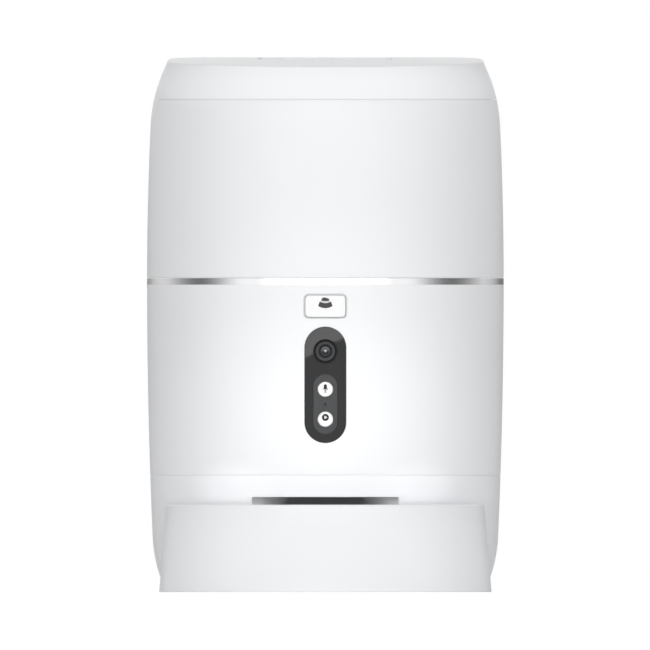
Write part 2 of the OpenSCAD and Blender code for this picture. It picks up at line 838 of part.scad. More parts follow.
// Plain bush with the bore of the rotor shaft
module bush(h) {
    difference() {
        cylinder(h = h, r = bush_r - 0.02);
        translate([0, 0, -1]) cylinder(h = h + 2, r = shaft_r + run_gap);
    }
}

module rotor() {
    color("gold") at_axis() translate([0, 0, rotor_z]) difference() {
        union() {
            cylinder(h = rotor_h, r = hub_r);
            for (k = [0 : blades - 1]) rotate(360 * (k + 0.5) / blades)
                translate([0, -blade_t / 2, 0]) cube([rotor_r - tip_len, blade_t, rotor_h - 0.4]);
        }
        translate([0, 0, -1]) cylinder(h = rotor_h + 2, r = shaft_r + 0.02);
    }
}

module rotor_tips() {
    color("gray") at_axis() translate([0, 0, rotor_z]) for (k = [0 : blades - 1])
        rotate(360 * (k + 0.5) / blades) intersection() {
            translate([rotor_r - tip_len, -tip_t / 2, 0]) cube([2 * tip_len, tip_t, rotor_h - 0.4]);
            cylinder(h = rotor_h, r = rotor_r);
        }
}

module agitator() {
    base = rotor_z + rotor_h;
    color("gold") at_axis() translate([0, 0, base]) difference() {
        union() {
            cylinder(h = agitator_h, r = agitator_r);
            translate([0, 0, agitator_h])
                cylinder(h = agitator_cap, r1 = agitator_r, r2 = agitator_r - agitator_cap);
            for (a = [0, 180]) rotate(a) rotate([0, 90, 0]) translate([-arm_z, 0, 0])
                cylinder(h = arm_len, r = arm_r);
        }
        translate([0, 0, -1]) cylinder(h = agitator_h - 1.5, r = shaft_r + 0.02);
    }
}

module rotor_shaft() {
    foot = frame_z - frame_drop + 1;
    color("silver") at_axis() translate([0, 0, foot])
        cylinder(h = rotor_z + rotor_h + agitator_h - 3 - foot, r = shaft_r);
}

module rotor_gear() {
    color("ivory") at_axis() translate([0, 0, gear_z]) difference() {
        union() {
            rotate(90) linear_extrude(gear_w) polygon(gear_points(gear_teeth, 0.25));
            cylinder(h = gear_w + 2, r = gear_hub_r);
        }
        translate([0, 0, -1]) cylinder(h = gear_w + 5, r = shaft_r + 0.02);
    }
}

module gear_frame() {
    color("lightgray") at_axis() difference() {
        union() {
            translate([-frame_half, -frame_front, frame_z])
                cube([2 * frame_half, frame_front + pinion_y + gearbox_r + 3.5, frame_t]);
            translate([0, 0, frame_z - frame_drop]) cylinder(h = frame_drop + 1, r = bush_r + 3);
            for (s = [-1, 1]) for (p = frame_posts)
                translate([s * p[0], p[1], frame_z]) cylinder(h = deck_z - frame_z, r = frame_post_r);
        }
        translate([0, 0, frame_z - frame_drop - 1]) cylinder(h = frame_drop + frame_t + 2, r = bush_r);
        translate([0, pinion_y, frame_z - 1]) cylinder(h = frame_t + 2, r = 2 * motor_shaft_r);
        for (s = [-1, 1]) translate([s * motor_screw_x, pinion_y, frame_z - 1])
            cylinder(h = frame_t + 2, r = motor_screw_r + 0.2);
    }
}

module gear_motor() {
    color("silver") at_axis() translate([0, pinion_y, frame_z - gearbox_h]) difference() {
        union() {
            cylinder(h = gearbox_h, r = gearbox_r);
            translate([0, 0, -can_h]) cylinder(h = can_h + 1, r = can_r);
            translate([0, 0, -can_h - 2]) cylinder(h = 3, r = can_r * 0.31);
            for (s = [-1, 1])
                translate([s * can_r * 0.44 - terminal_w / 2, -contact_t / 2, -can_h - 1.7 * terminal_w])
                    cube([terminal_w, contact_t, 2 * terminal_w]);
        }
        translate([0, 0, gearbox_h * 0.36]) cylinder(h = gearbox_h, r = motor_shaft_r + run_gap);
        for (s = [-1, 1]) translate([s * motor_screw_x, 0, gearbox_h * 0.68])
            cylinder(h = gearbox_h, r = motor_screw_r + 0.05);
    }
}

module motor_screws() {
    reach = gearbox_h * 0.25;
    color("silver") at_axis() for (s = [-1, 1])
        translate([s * motor_screw_x, pinion_y, frame_z - reach]) difference() {
            union() {
                cylinder(h = reach + frame_t + 0.5, r = motor_screw_r);
                translate([0, 0, reach + frame_t])
                    cylinder(h = motor_screw_head * 0.65, r = motor_screw_head);
            }
            for (a = [0, 90]) rotate(a)
                translate([-motor_screw_head * 0.6, -motor_screw_head * 0.14,
                    reach + frame_t + motor_screw_head * 0.3])
                    cube([motor_screw_head * 1.2, motor_screw_head * 0.28, motor_screw_head]);
        }
}

module motor_shaft() {
    foot = frame_z - gearbox_h * 0.61;
    color("silver") at_axis() translate([0, pinion_y, foot])
        cylinder(h = gear_z + gear_w + 1.5 - foot, r = motor_shaft_r);
}

module motor_pinion() {
    color("ivory") at_axis() translate([0, pinion_y, gear_z]) difference() {
        rotate(-90 + 180 / pinion_teeth) linear_extrude(gear_w) polygon(gear_points(pinion_teeth, 0.25));
        translate([0, 0, -1]) cylinder(h = gear_w + 2, r = motor_shaft_r + 0.02);
    }
}

// Feed button and camera panel

module feed_bezel() {
    w = feed_w - 0.1;
    h = feed_h - 0.1;
    color("silver") at_axis() difference() {
        union() {
            intersection() {
                front_skin(feed_z - feed_h, feed_z + feed_h, -0.15, wall + 1);
                through_front() rounded(w, h, feed_corner, feed_z);
            }
            intersection() {
                front_skin(feed_z - feed_h, feed_z + feed_h, wall + press_gap, wall + 1.4);
                through_front() rounded(w + 5, h + 3, feed_corner, feed_z);
            }
        }
        through_front() rounded(w - 2 * feed_line, h - 2 * feed_line, feed_corner - feed_line, feed_z);
    }
}

module feed_button() {
    w = feed_w - 0.1 - 2 * feed_line - 2 * slide_gap;
    h = feed_h - 0.1 - 2 * feed_line - 2 * slide_gap;
    r = feed_corner - feed_line - slide_gap;
    flange = wall + 1.4 + slide_gap;
    stop = board_depth - switch_h - switch_tip - feed_travel - press_gap;
    color("white") at_axis() {
        intersection() {
            front_skin(feed_z - feed_h, feed_z + feed_h, -0.35, flange + 0.6);
            through_front() rounded(w, h, r, feed_z);
        }
        intersection() {
            front_skin(feed_z - feed_h, feed_z + feed_h, flange, flange + 1.2);
            through_front() rounded(w + 3, h + 2.4, r, feed_z);
        }
        bar_y(0, feed_z, front_y(feed_z) + flange + 0.6, front_y(feed_z) + stop, 3);
    }
}

module feed_board() {
    color("green") at_axis() translate([-feed_board_w / 2, feed_board_y, feed_z - feed_board_h / 2])
        cube([feed_board_w, board_t, feed_board_h]);
}

module feed_switch() {
    color("black") at_axis() tact_switch(feed_z, feed_board_y);
}

// Small push switch standing on a board
module tact_switch(z, face) {
    translate([-switch_w / 2, face - switch_h, z - switch_w / 2]) cube([switch_w, switch_h, switch_w]);
    bar_y(0, z, face - switch_h - switch_tip, face - switch_h + 0.5, switch_r);
}

module camera_panel() {
    z0 = panel_z - panel_h / 2 - 5;
    z1 = panel_z + panel_h / 2 + 5;
    color("dimgray") at_axis() difference() {
        union() {
            intersection() {
                front_skin(z0, z1, -panel_proud, wall + 1);
                through_front() stadium(panel_w - 0.2, panel_h - 0.2, panel_z);
            }
            intersection() {
                front_skin(z0, z1, wall + press_gap, panel_back);
                through_front() stadium(panel_w + 2 * panel_flange, panel_h + 2 * panel_flange, panel_z);
            }
            for (s = [-1, 1]) for (z = panel_posts)
                bar_y(s * panel_post_x, z, front_at(panel_post_x, z, wall + 1), board_y, panel_post_r);
        }
        through_front() stadium(plate_w, plate_h, plate_z);
        bar_y(0, lens_z, panel_y - 10, board_y - 6, lens_r);
    }
}

module control_plate() {
    z0 = plate_z - plate_h / 2 - 5;
    z1 = plate_z + plate_h / 2 + 5;
    color("gray") at_axis() difference() {
        union() {
            intersection() {
                front_skin(z0, z1, -panel_proud - 0.15, panel_back + 0.8);
                through_front() stadium(plate_w - 0.1, plate_h - 0.1, plate_z);
            }
            intersection() {
                front_skin(z0, z1, panel_back + press_gap, plate_back);
                through_front() stadium(plate_w + 1.6, plate_h + 1.6, plate_z);
            }
        }
        for (s = [-1, 1])
            bar_y(0, plate_z + s * button_step, panel_y - 10, board_y - 2, button_r + slide_gap);
        bar_y(0, plate_z, panel_y - 10, board_y - 2, mic_r);
    }
}

module lens_ring() {
    face = front_y(lens_z) - panel_proud - 0.5;
    color("black") at_axis() difference() {
        bar_y(0, lens_z, face, face + 5, lens_r - 0.05);
        bar_y(0, lens_z, face - 1, face + 6, lens_r - 1.6);
    }
}

module lens_barrel() {
    face = front_y(lens_z) + 0.4;
    color("black") at_axis() difference() {
        bar_y(0, lens_z, face, board_y, lens_r - 1.65);
        translate([0, face - 0.01, lens_z]) rotate([-90, 0, 0])
            cylinder(h = 2, r1 = lens_r - 2.2, r2 = glass_r);
        bar_y(0, lens_z, face + 1, face + 5, glass_r);
    }
}

module lens_glass() {
    face = front_y(lens_z) + 1.4;
    color("darkslateblue") at_axis() intersection() {
        bar_y(0, lens_z, face - 3, face + 3.9, glass_r - 0.02);
        translate([0, face + 6, lens_z]) sphere(r = 6.6);
    }
}

module camera_board() {
    color("green") at_axis() {
        translate([-panel_board_w / 2, board_y, lens_z - camera_board_h / 2])
            cube([panel_board_w, board_t, camera_board_h]);
        translate([-panel_board_w / 4, board_y + board_t - 0.1, lens_z - camera_board_h / 5])
            cube([panel_board_w / 2, chip_t, camera_board_h * 0.4]);
    }
}

module record_button() {
    color("white") at_axis() round_button(plate_z + button_step);
}

module play_button() {
    color("white") at_axis() round_button(plate_z - button_step);
}

// Round push button behind the control plate
module round_button(z) {
    face = front_y(z);
    stop = board_y - switch_h - switch_tip - button_travel - press_gap;
    bar_y(0, z, face - panel_proud - 0.6, face + plate_back + slide_gap + 0.6, button_r);
    bar_y(0, z, face + plate_back + slide_gap, face + plate_back + slide_gap + 1.2, button_r + 0.9);
    bar_y(0, z, face + plate_back + slide_gap + 1, stop, 2);
}

module button_board() {
    color("green") at_axis() translate([-panel_board_w / 2, board_y, panel_posts[0] - 2 * switch_r])
        cube([panel_board_w, board_t, panel_posts[1] - panel_posts[0] + 4 * switch_r]);
}

module button_switches() {
    color("black") at_axis() for (s = [-1, 1]) tact_switch(plate_z + s * button_step, board_y);
}

module microphone() {
    color("silver") at_axis() bar_y(0, plate_z, board_y - 4, board_y, 2.4);
}

// Tray and bowl

module tray() {
    room_r = tray_rim_r - tray_wall;
    under_z = ledge_z - tray_wall;
    color("white") at_axis() {
        difference() {
            tray_solid(concat([[tray_foot_r, 0]], rim_line(tray_rim_r, tray_h, 1)), tray_back);
            translate([0, 0, -1]) cylinder(h = tray_h + 2, r = seat_r);
            // Room over the ledge
            tray_solid(concat([[fine(ledge_r), ledge_z]], rim_line(room_r, tray_h, -1),
                [[room_r + rim_round, tray_h + 1]]), tray_back - tray_wall);
            // Room under the ledge
            difference() {
                tray_solid([[tray_foot_r - tray_wall, -1], [fine(tray_at(under_z) - tray_wall), under_z]],
                    tray_back - tray_wall);
                cylinder(h = tray_h, r = seat_r + tray_wall);
            }
            translate([0, 0, ledge_z - 10]) linear_extrude(20) bowl_plan(seam);
        }
        // Tongues that hook the tray to the base
        for (s = [-1, 1]) translate([s * tongue_x - tongue_w / 2, -sqrt(pow(seat_r + tray_wall / 2, 2)
            - pow(tongue_x + tongue_w / 2, 2)), tongue_z]) cube([tongue_w, tongue_len, tongue_h]);
    }
}

module bowl() {
    color("silver") at_axis() difference() {
        union() {
            translate([0, 0, ledge_z]) linear_extrude(bowl_t) bowl_plan(bowl_rim);
            translate([0, 0, ledge_z - bowl_depth]) linear_extrude(bowl_depth + bowl_t / 2) bowl_plan(0);
        }
        translate([0, 0, ledge_z - bowl_depth + bowl_t]) linear_extrude(bowl_depth + 5) bowl_plan(-bowl_t);
    }
}

base_shell();
bottom_plate();
rubber_feet();
case_screws();
battery_box();
battery_contacts();
battery_cover();
food_chute();
speaker();
dc_jack();
main_housing();
main_board();
trim_band();
hopper_shell();
hopper_funnel();
lid();
lid_seal();
desiccant_box();
rotor_housing();
drop_guard();
upper_bush();
rotor();
rotor_tips();
agitator();
rotor_shaft();
rotor_gear();
gear_frame();
lower_bush();
gear_motor();
motor_screws();
motor_shaft();
motor_pinion();
feed_bezel();
feed_button();
feed_board();
feed_switch();
camera_panel();
control_plate();
lens_ring();
lens_barrel();
lens_glass();
camera_board();
record_button();
play_button();
button_board();
button_switches();
microphone();
tray();
bowl();
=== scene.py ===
# Automatic pet feeder with a front camera: white barrel-shaped casing, bright trim band, dark control panel
# and a pull-out tray with a steel bowl. Metres, +Z up, the front faces -Y.
import bpy
import bmesh
from math import atan2, cos, dist, pi, radians, sin, sqrt, tan
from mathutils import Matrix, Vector


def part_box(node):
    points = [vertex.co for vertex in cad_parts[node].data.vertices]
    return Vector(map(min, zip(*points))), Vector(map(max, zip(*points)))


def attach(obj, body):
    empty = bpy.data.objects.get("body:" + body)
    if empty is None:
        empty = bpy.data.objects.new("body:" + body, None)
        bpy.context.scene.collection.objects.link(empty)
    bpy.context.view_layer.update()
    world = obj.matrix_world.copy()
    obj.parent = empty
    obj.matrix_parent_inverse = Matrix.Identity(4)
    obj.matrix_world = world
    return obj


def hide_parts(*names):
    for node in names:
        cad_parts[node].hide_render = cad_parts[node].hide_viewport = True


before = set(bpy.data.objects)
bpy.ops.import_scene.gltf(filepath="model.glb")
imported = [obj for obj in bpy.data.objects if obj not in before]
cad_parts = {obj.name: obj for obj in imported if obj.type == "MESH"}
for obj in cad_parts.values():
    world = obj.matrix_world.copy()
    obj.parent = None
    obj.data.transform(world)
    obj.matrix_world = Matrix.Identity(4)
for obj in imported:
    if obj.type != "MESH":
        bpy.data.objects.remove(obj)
scene = bpy.context.scene
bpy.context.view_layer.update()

# STUDIO
# A seamless white table under soft light. The photograph is taken level and from far off, straight at the
# front, so the camera is without perspective and its picture is 0.429 m wide.
view_width = 0.429
view_aside, view_far, view_height = -0.00024, 2.0, 0.1762


def put(name, data, **settings):
    """Stands an object in the scene and sets its properties."""
    made = bpy.data.objects.new(name, data)
    for key, value in settings.items():
        setattr(made, key, value)
    scene.collection.objects.link(made)
    return made


camera_data = bpy.data.cameras.new("studio_camera")
camera_data.type = "ORTHO"
camera_data.ortho_scale = view_width
scene.camera = put("studio_camera", camera_data, location=(view_aside, -view_far, view_height),
                   rotation_euler=(radians(90), 0.0, 0.0))
scene.view_settings.view_transform = "Standard"


def linear(hex_colour):
    """Turns an sRGB hex colour into linear red, green, blue and alpha."""
    parts = [int(hex_colour[i:i + 2], 16) / 255 for i in (1, 3, 5)]
    return tuple(c / 12.92 if c <= 0.04045 else ((c + 0.055) / 1.055) ** 2.4 for c in parts) + (1.0,)


def add(tree, kind, settings=None, **links):
    """Adds a node with properties or input values, and with links from outputs or nodes' first ones."""
    made = tree.nodes.new(kind)
    for key, value in (settings or {}).items():
        if isinstance(key, str) and hasattr(made, key):
            setattr(made, key, value)
        else:
            made.inputs[key].default_value = value
    for key, source in links.items():
        start = source.outputs[0] if isinstance(source, bpy.types.Node) else source
        end = int(key[1:]) if key[0] == "n" and key[1:].isdigit() else key.replace("_", " ")
        tree.links.new(start, made.inputs[end])
    return made


def blend(tree, dark, light, share):
    """Mixes two sRGB hex colours by a texture's value."""
    ends = {"Color1": linear(dark), "Color2": linear(light)}
    return add(tree, "ShaderNodeMixRGB", ends, Fac=share)


def blank(name):
    """Starts a material with an empty tree."""
    made = bpy.data.materials.new(name)
    made.use_nodes = True
    made.node_tree.nodes.clear()
    return made, made.node_tree


def surface(tree, shine, **links):
    """Ends a material with its shader."""
    skin = add(tree, "ShaderNodeBsdfPrincipled", shine, **links)
    add(tree, "ShaderNodeOutputMaterial", Surface=skin)


# The world: white to the eye and to mirrors, a softer fill to everything that it lights, weaker from above.
fill_level = 0.80
fill_above = 0.03
fill_fades = 0.20
world = bpy.data.worlds.new("studio_world")
scene.world = world
world.use_nodes = True
tree = world.node_tree
tree.nodes.clear()
path = add(tree, "ShaderNodeLightPath")
seen = add(tree, "ShaderNodeMath", {"operation": "MAXIMUM"},
           n0=path.outputs["Is Camera Ray"], n1=path.outputs["Is Glossy Ray"])
seen = add(tree, "ShaderNodeMath", {"operation": "MAXIMUM"},
           n0=seen, n1=path.outputs["Is Transmission Ray"])
sky = add(tree, "ShaderNodeTexCoord")
upward = add(tree, "ShaderNodeSeparateXYZ", Vector=sky.outputs["Generated"])
level = add(tree, "ShaderNodeMapRange",
            {"From Min": fill_fades, "To Min": fill_level, "To Max": fill_above}, Value=upward.outputs[2])
fill = add(tree, "ShaderNodeBackground", {"Color": linear("#FFFFFF")}, Strength=level)
plain = add(tree, "ShaderNodeBackground", {"Color": linear("#FFFFFF"), "Strength": 1.0})
mixed = add(tree, "ShaderNodeMixShader", n0=seen, n1=fill, n2=plain)
add(tree, "ShaderNodeOutputWorld", Surface=mixed)

# The table: matt white board that keeps the soft shadow under the feeder.
half = 3.0
floor_mesh = bpy.data.meshes.new("table_top")
corners = [(-half, -half, 0), (half, -half, 0), (half, half, 0), (-half, half, 0)]
floor_mesh.from_pydata(corners, [], [(0, 1, 2, 3)])
table_top = put("table_top", floor_mesh)
board, tree = blank("matt_white_board")
cloud = add(tree, "ShaderNodeTexNoise", {"Scale": 3.0, "Detail": 2.0})
surface(tree, {"Roughness": 0.9, "Specular IOR Level": 0.1},
        Base_Color=blend(tree, "#F6F6F6", "#FAFAFA", cloud))
floor_mesh.materials.append(board)

# One large softbox in front, over the camera; its slanting lower edge is what the dark panel mirrors.
# A weak one lights the back.
for name, place, turn, wide, high, watts in (
        ("front_softbox", (0.0, -1.10, 0.7575), (90.0, -2.4, 0.0), 1.8, 1.24, 9.5),
        ("back_softbox", (0.0, 1.7, 0.9), (-75.0, 0.0, 0.0), 1.6, 1.2, 6.0)):
    lamp = bpy.data.lights.new(name, "AREA")
    lamp.shape = "RECTANGLE"
    lamp.size = wide
    lamp.size_y = high
    lamp.energy = watts
    put(name, lamp, location=place, rotation_euler=[radians(a) for a in turn], visible_camera=False)

# Spots brighten the front round the panel, over the outlet and on the tray. Pairs of them, one from each
# side, do so on the lid, the strip over the tray and the tray's flanks.
# Each has a place, a target, a cone in degrees, the cone's stretch to the sides, a lamp radius and watts.
mild, hard = 0.02, 0.0005
spots = [("panel_spot", (0.0, -1.45, 0.10), (0.0, 0.0, 0.1481), 10.0, 1.0, mild, 7.2),
         ("outlet_spot", (0.0, -1.45, 0.03), (0.0, 0.0, 0.0452), 13.0, 1.0, hard, 15.5),
         ("tray_spot", (0.0, -1.45, 0.12), (0.0, 0.0, 0.0135), 10.0, 1.0, mild, 2.8)]
for end, side in (("left", -1), ("right", 1)):
    for name, place, target, spread, stretch, watts in (
            ("lid_spot_", (1.2, -0.85, 0.336), (0.078, 0.0, 0.336), 1.35, 6.0, 7.0),
            ("strip_spot_", (0.8, -1.25, 0.071), (0.064, -0.03, 0.071), 1.4, 2.2, 8.5),
            ("flank_spot_", (0.9, -1.15, 0.028), (0.062, -0.08, 0.028), 3.4, 2.0, 4.7)):
        place, target = [(side * x, y, z) for x, y, z in (place, target)]
        spots.append((name + end, place, target, spread, stretch, hard, watts))
for name, place, target, spread, stretch, soft, watts in spots:
    spot = bpy.data.lights.new(name, "SPOT")
    spot.energy = watts
    spot.spot_size = radians(spread)
    spot.spot_blend = 1.0
    spot.shadow_soft_size = soft
    aim = (Vector(target) - Vector(place)).to_track_quat("-Z", "Y").to_euler()
    put(name, spot, location=place, rotation_euler=aim, scale=(stretch, 1.0, 1.0),
        visible_camera=False, visible_glossy=False)

# Cards that only mirrors see. A black one under the softbox ends its mirror image in the panel, dark ones
# fading out to both ends stand beside the feeder for the trim band, narrow ones carry them on to the one
# behind, and that one draws the edges. A flag keeps the outlet's spot off the tray and out of the outlet.
card, tree = blank("studio_card_faded")
strip = add(tree, "ShaderNodeUVMap")
across = add(tree, "ShaderNodeSeparateXYZ", Vector=strip)
fade = add(tree, "ShaderNodeValToRGB", Fac=across)
fade.color_ramp.interpolation = "EASE"
fade.color_ramp.elements[0].color = linear("#FFFFFF")
fade.color_ramp.elements[1].color = linear("#D2D2D2")
fade.color_ramp.elements.new(0.5).color = linear("#6A6B6B")
glow = add(tree, "ShaderNodeEmission", Color=fade)
add(tree, "ShaderNodeOutputMaterial", Surface=glow)
black, tree = blank("black_flag_cloth")
surface(tree, {"Base Color": linear("#060606"), "Roughness": 1.0, "Specular IOR Level": 0.0})


def sheet_corners(x0, y0, x1, y1, low, high):
    """Corners of an upright sheet that stands between two places."""
    return [(x0, y0, low), (x1, y1, low), (x1, y1, high), (x0, y0, high)]


low_flag = [(x, -1.08, z) for x, z in ((-0.9, -0.4), (0.9, -0.4), (0.9, 0.1758), (-0.9, 0.0992))]
spot_flag = [(x, -1.2, z) for x, z in (
    (-0.1, -0.1), (0.1, -0.1), (0.1, 0.0353), (0.0088, 0.0353),
    (0.0088, 0.0358), (-0.0088, 0.0358), (-0.0088, 0.0353), (-0.1, 0.0353))]
side_x, side_end, back_y = 1.0, 0.70, 1.9
for name, corners, tones in (
        ("flag_low", low_flag, None),
        ("card_left", sheet_corners(-side_x, -0.75, -side_x, side_end, -0.2, 0.8), (0.0, 1.0)),
        ("card_right", sheet_corners(side_x, -0.75, side_x, side_end, -0.2, 0.8), (0.0, 1.0)),
        ("card_back", sheet_corners(-1.2, back_y, 1.2, back_y, -0.2, 1.0), (0.75, 0.54)),
        ("card_end_left", sheet_corners(-side_x, side_end, -side_x, back_y, 0.12, 0.29), (1.0, 0.74)),
        ("card_end_right", sheet_corners(side_x, side_end, side_x, back_y, 0.12, 0.29), (0.90, 0.58)),
        ("flag_spot", spot_flag, None)):
    mesh = bpy.data.meshes.new(name)
    mesh.from_pydata(corners, [], [tuple(range(len(corners)))])
    mesh.materials.append(card if tones else black)
    if tones:
        near, far = tones
        for loop, u in zip(mesh.uv_layers.new(name="UVMap").data, (near, far, far, near)):
            loop.uv = (u, 0.5)
    flag = put(name, mesh, visible_camera=False, visible_diffuse=False, visible_transmission=False,
               visible_shadow=name == "flag_spot")

# BASE CASING
# The foot of the feeder, moulded in white ABS from a polished tool, with the food outlet cut in its front.
# A plate closes it from below, and the main housing stands on its upper edge.
axis_y = 0.07135
body_r = 0.1177
side_len = 0.037
corner_r = 0.045
wall = 0.0026
base_low, base_high = 0.003, 0.077
outlet_w, outlet_h, outlet_soft, outlet_z = 0.097, 0.0287, 0.0012, 0.04835
tongue_x, tongue_z = 0.070, 0.012
tongue_w, tongue_h, tongue_soft, tongue_gap = 0.010, 0.008, 0.0006, 0.0006
speaker_r, speaker_z, speaker_step, slit_h, slit_soft = 0.015, 0.042, 0.004, 0.0018, 0.0008
socket_x, socket_z, socket_r = 0.058, 0.026, 0.006
# The side line in millimetres: its widest level, the bends over and under it, the shoulder and the foot.
wide_z, over_bend, under_bend = 206, 2230, 3900
shoulder_z, shoulder_bend = 308.6, 96.5
foot_z, foot_bend = 36, 88
# Depths between which cuts go through the front and the back.
front_near, front_far = axis_y - 0.15, axis_y - 0.06
back_near, back_far = axis_y + 0.065, axis_y + 0.1
# Edges that turn by more degrees than this stay crisp.
crisp = 32
fine_turn = (0.0, 22.5, 45.0, 67.5, 90.0)
inner_rows = 9


def tuck(z):
    """Change in half width of the body at a height, from its widest level."""
    h = z * 1000
    t = -(h - wide_z) ** 2 / (2 * (over_bend if h > wide_z else under_bend))
    if h > shoulder_z:
        t -= (h - shoulder_z) ** 2 / (2 * shoulder_bend)
    if h < foot_z:
        t -= (foot_z - h) ** 2 / (2 * foot_bend)
    return t / 1000


# The plan of the body at its widest level: points with their outward directions.
plan = [(body_r, side_len * i / 6, 1.0, 0.0) for i in range(6)]
for side, start in ((1, 0), (-1, 90)):
    for i in range(31):
        a = radians(start + 3 * i)
        plan.append((side * (body_r - corner_r) + corner_r * cos(a),
                     side_len + corner_r * sin(a), cos(a), sin(a)))
    if side == 1:
        plan += [((body_r - corner_r) * (1 - 2 * i / 12), side_len + corner_r, 0.0, 1.0)
                 for i in range(1, 12)]
plan += [(-body_r, side_len * (1 - i / 6), -1.0, 0.0) for i in range(1, 6)]
for i in range(120):
    a = radians(180 + 1.5 * i)
    plan.append((body_r * cos(a), body_r * sin(a), cos(a), sin(a)))


def piece(name, vertices, faces, material, sharp=crisp):
    """Makes a smooth-shaded object whose edges stay crisp where the surface turns by more than an angle."""
    mesh = bpy.data.meshes.new(name)
    mesh.from_pydata(vertices, [], faces)
    mesh.validate()
    work = bmesh.new()
    work.from_mesh(mesh)
    bmesh.ops.remove_doubles(work, verts=work.verts, dist=1e-7)
    bmesh.ops.recalc_face_normals(work, faces=work.faces)
    work.to_mesh(mesh)
    work.free()
    mesh.shade_smooth()
    mesh.set_sharp_from_angle(angle=radians(sharp))
    mesh.materials.append(material)
    return put(name, mesh)


def loft(name, rings, material, closed=False, sharp=crisp):
    """Joins equal rings of points, each to the next; the last joins the first, or both ends are capped."""
    rows, count = len(rings), len(rings[0])
    faces = [] if closed else [tuple(range(count)), tuple(range((rows - 1) * count, rows * count))]
    for j in range(rows if closed else rows - 1):
        m = (j + 1) % rows
        for i in range(count):
            k = (i + 1) % count
            faces.append((j * count + i, j * count + k, m * count + k, m * count + i))
    return piece(name, [point for ring in rings for point in ring], faces, material, sharp)


def band(name, profile, material, sharp=crisp):
    """Carries a closed profile of offsets and heights round the plan."""
    rings = [[(x + nx * t, y + ny * t + axis_y, z) for t, z in profile] for x, y, nx, ny in plan]
    return loft(name, rings, material, True, sharp)


def quarter_round(r, degrees):
    """Inset and drop of a rounded edge at angles from its side, 0 degrees, to its top, 90 degrees."""
    return [(r * (1 - cos(radians(a))), r * (1 - sin(radians(a)))) for a in degrees]


def casing_profile(low, high, soft_low, soft_high, thickness=wall):
    """Closed section of a casing wall with its outer edges rounded."""
    steps = max(4, round((high - low) / 0.004))
    first, last = low + soft_low, high - soft_high
    levels = [(inset, low + drop) for inset, drop in reversed(quarter_round(soft_low, fine_turn))]
    levels += [(0.0, first + (last - first) * i / steps) for i in range(1, steps)]
    levels += [(inset, high - drop) for inset, drop in quarter_round(soft_high, fine_turn)]
    inside = [high - (high - low) * i / (inner_rows - 1) for i in range(inner_rows)]
    return [(tuck(z) - inset, z) for inset, z in levels] + [(tuck(z) - thickness, z) for z in inside]


def alter(target, tool, operation="DIFFERENCE"):
    """Cuts a tool out of a piece, or joins it on, and drops the tool."""
    change = target.modifiers.new("alter", "BOOLEAN")
    change.operation = operation
    change.solver = "EXACT"
    change.object = tool
    graph = bpy.context.evaluated_depsgraph_get()
    mesh = bpy.data.meshes.new_from_object(target.evaluated_get(graph))
    target.modifiers.remove(change)
    target.data = mesh
    bpy.data.objects.remove(tool)
    mesh.shade_smooth()
    mesh.set_sharp_from_angle(angle=radians(crisp))
    return target


def corners_turned(w, h, r, steps):
    """Outline of a rounded rectangle round the origin."""
    points = []
    for sx, sy, start in ((1, 1, 0), (-1, 1, 90), (-1, -1, 180), (1, -1, 270)):
        for i in range(steps + 1):
            a = radians(start + 90 * i / steps)
            points.append((sx * (w / 2 - r) + r * cos(a), sy * (h / 2 - r) + r * sin(a)))
    return points


def rounded(w, h, r, z, steps=8):
    """Rounded rectangle in X and Z round a height."""
    return [(x, z + up) for x, up in corners_turned(w, h, r, steps)]


def disc_points(r, count=240):
    """Outline of a circle round the origin."""
    turns = [2 * pi * i / count for i in range(count)]
    return [(r * cos(a), r * sin(a)) for a in turns]


def prism(name, outline, y0, y1, material):
    """Straight prism of an outline in X and Z between two depths."""
    return loft(name, [[(x, y, z) for x, z in outline] for y in (y0, y1)], material)


def finish(name):
    """Starts a material and gives its tree and the place on the piece."""
    made, tree = blank(name)
    return made, tree, add(tree, "ShaderNodeTexCoord").outputs["Object"]


def noise(tree, place, patch, detail):
    """Soft noise with patches of a size in metres."""
    return add(tree, "ShaderNodeTexNoise", {"Scale": 1 / patch, "Detail": detail}, Vector=place)


def spread_out(tree, limits, share):
    """Spreads a texture's value between two limits."""
    ends = {"To Min": limits[0], "To Max": limits[1]}
    return add(tree, "ShaderNodeMapRange", ends, Value=share)


def relief(tree, bump, height):
    """Fine relief of a strength and a depth in metres from a texture's value."""
    return add(tree, "ShaderNodeBump", {"Strength": bump[0], "Distance": bump[1]}, Height=height)


def mottled(name, patch, detail, dark, light, shine, rough=None, bump=None):
    """Material whose tone, and where given gloss and grain, follow soft patches of a size in metres."""
    made, tree, place = finish(name)
    cloud = noise(tree, place, patch, detail)
    links = {"Base_Color": blend(tree, dark, light, cloud)}
    if rough:
        links["Roughness"] = spread_out(tree, rough, cloud)
    if bump:
        links["Normal"] = relief(tree, bump, cloud)
    surface(tree, shine, **links)
    return made


# White ABS: a milky moulded plastic. The polished tool leaves a soft gloss with a faint flow unevenness,
# drawn about 3 mm wide so that it shows, and a tone that varies by less than one step in a hundred.
white_abs, tree, place = finish("white_abs_polished")
flow = noise(tree, place, 0.06, 2.0)
skin = noise(tree, place, 0.003, 3.0)
surface(tree, {"IOR": 1.5, "Specular IOR Level": 0.35}, Base_Color=blend(tree, "#F1F2F4", "#F3F4F6", flow),
        Roughness=spread_out(tree, (0.36, 0.44), skin), Normal=relief(tree, (0.012, 0.0004), skin))

base_line = casing_profile(base_low, base_high, soft_low=0.0012, soft_high=0.0006)
base_casing = band("base_casing", base_line, white_abs)
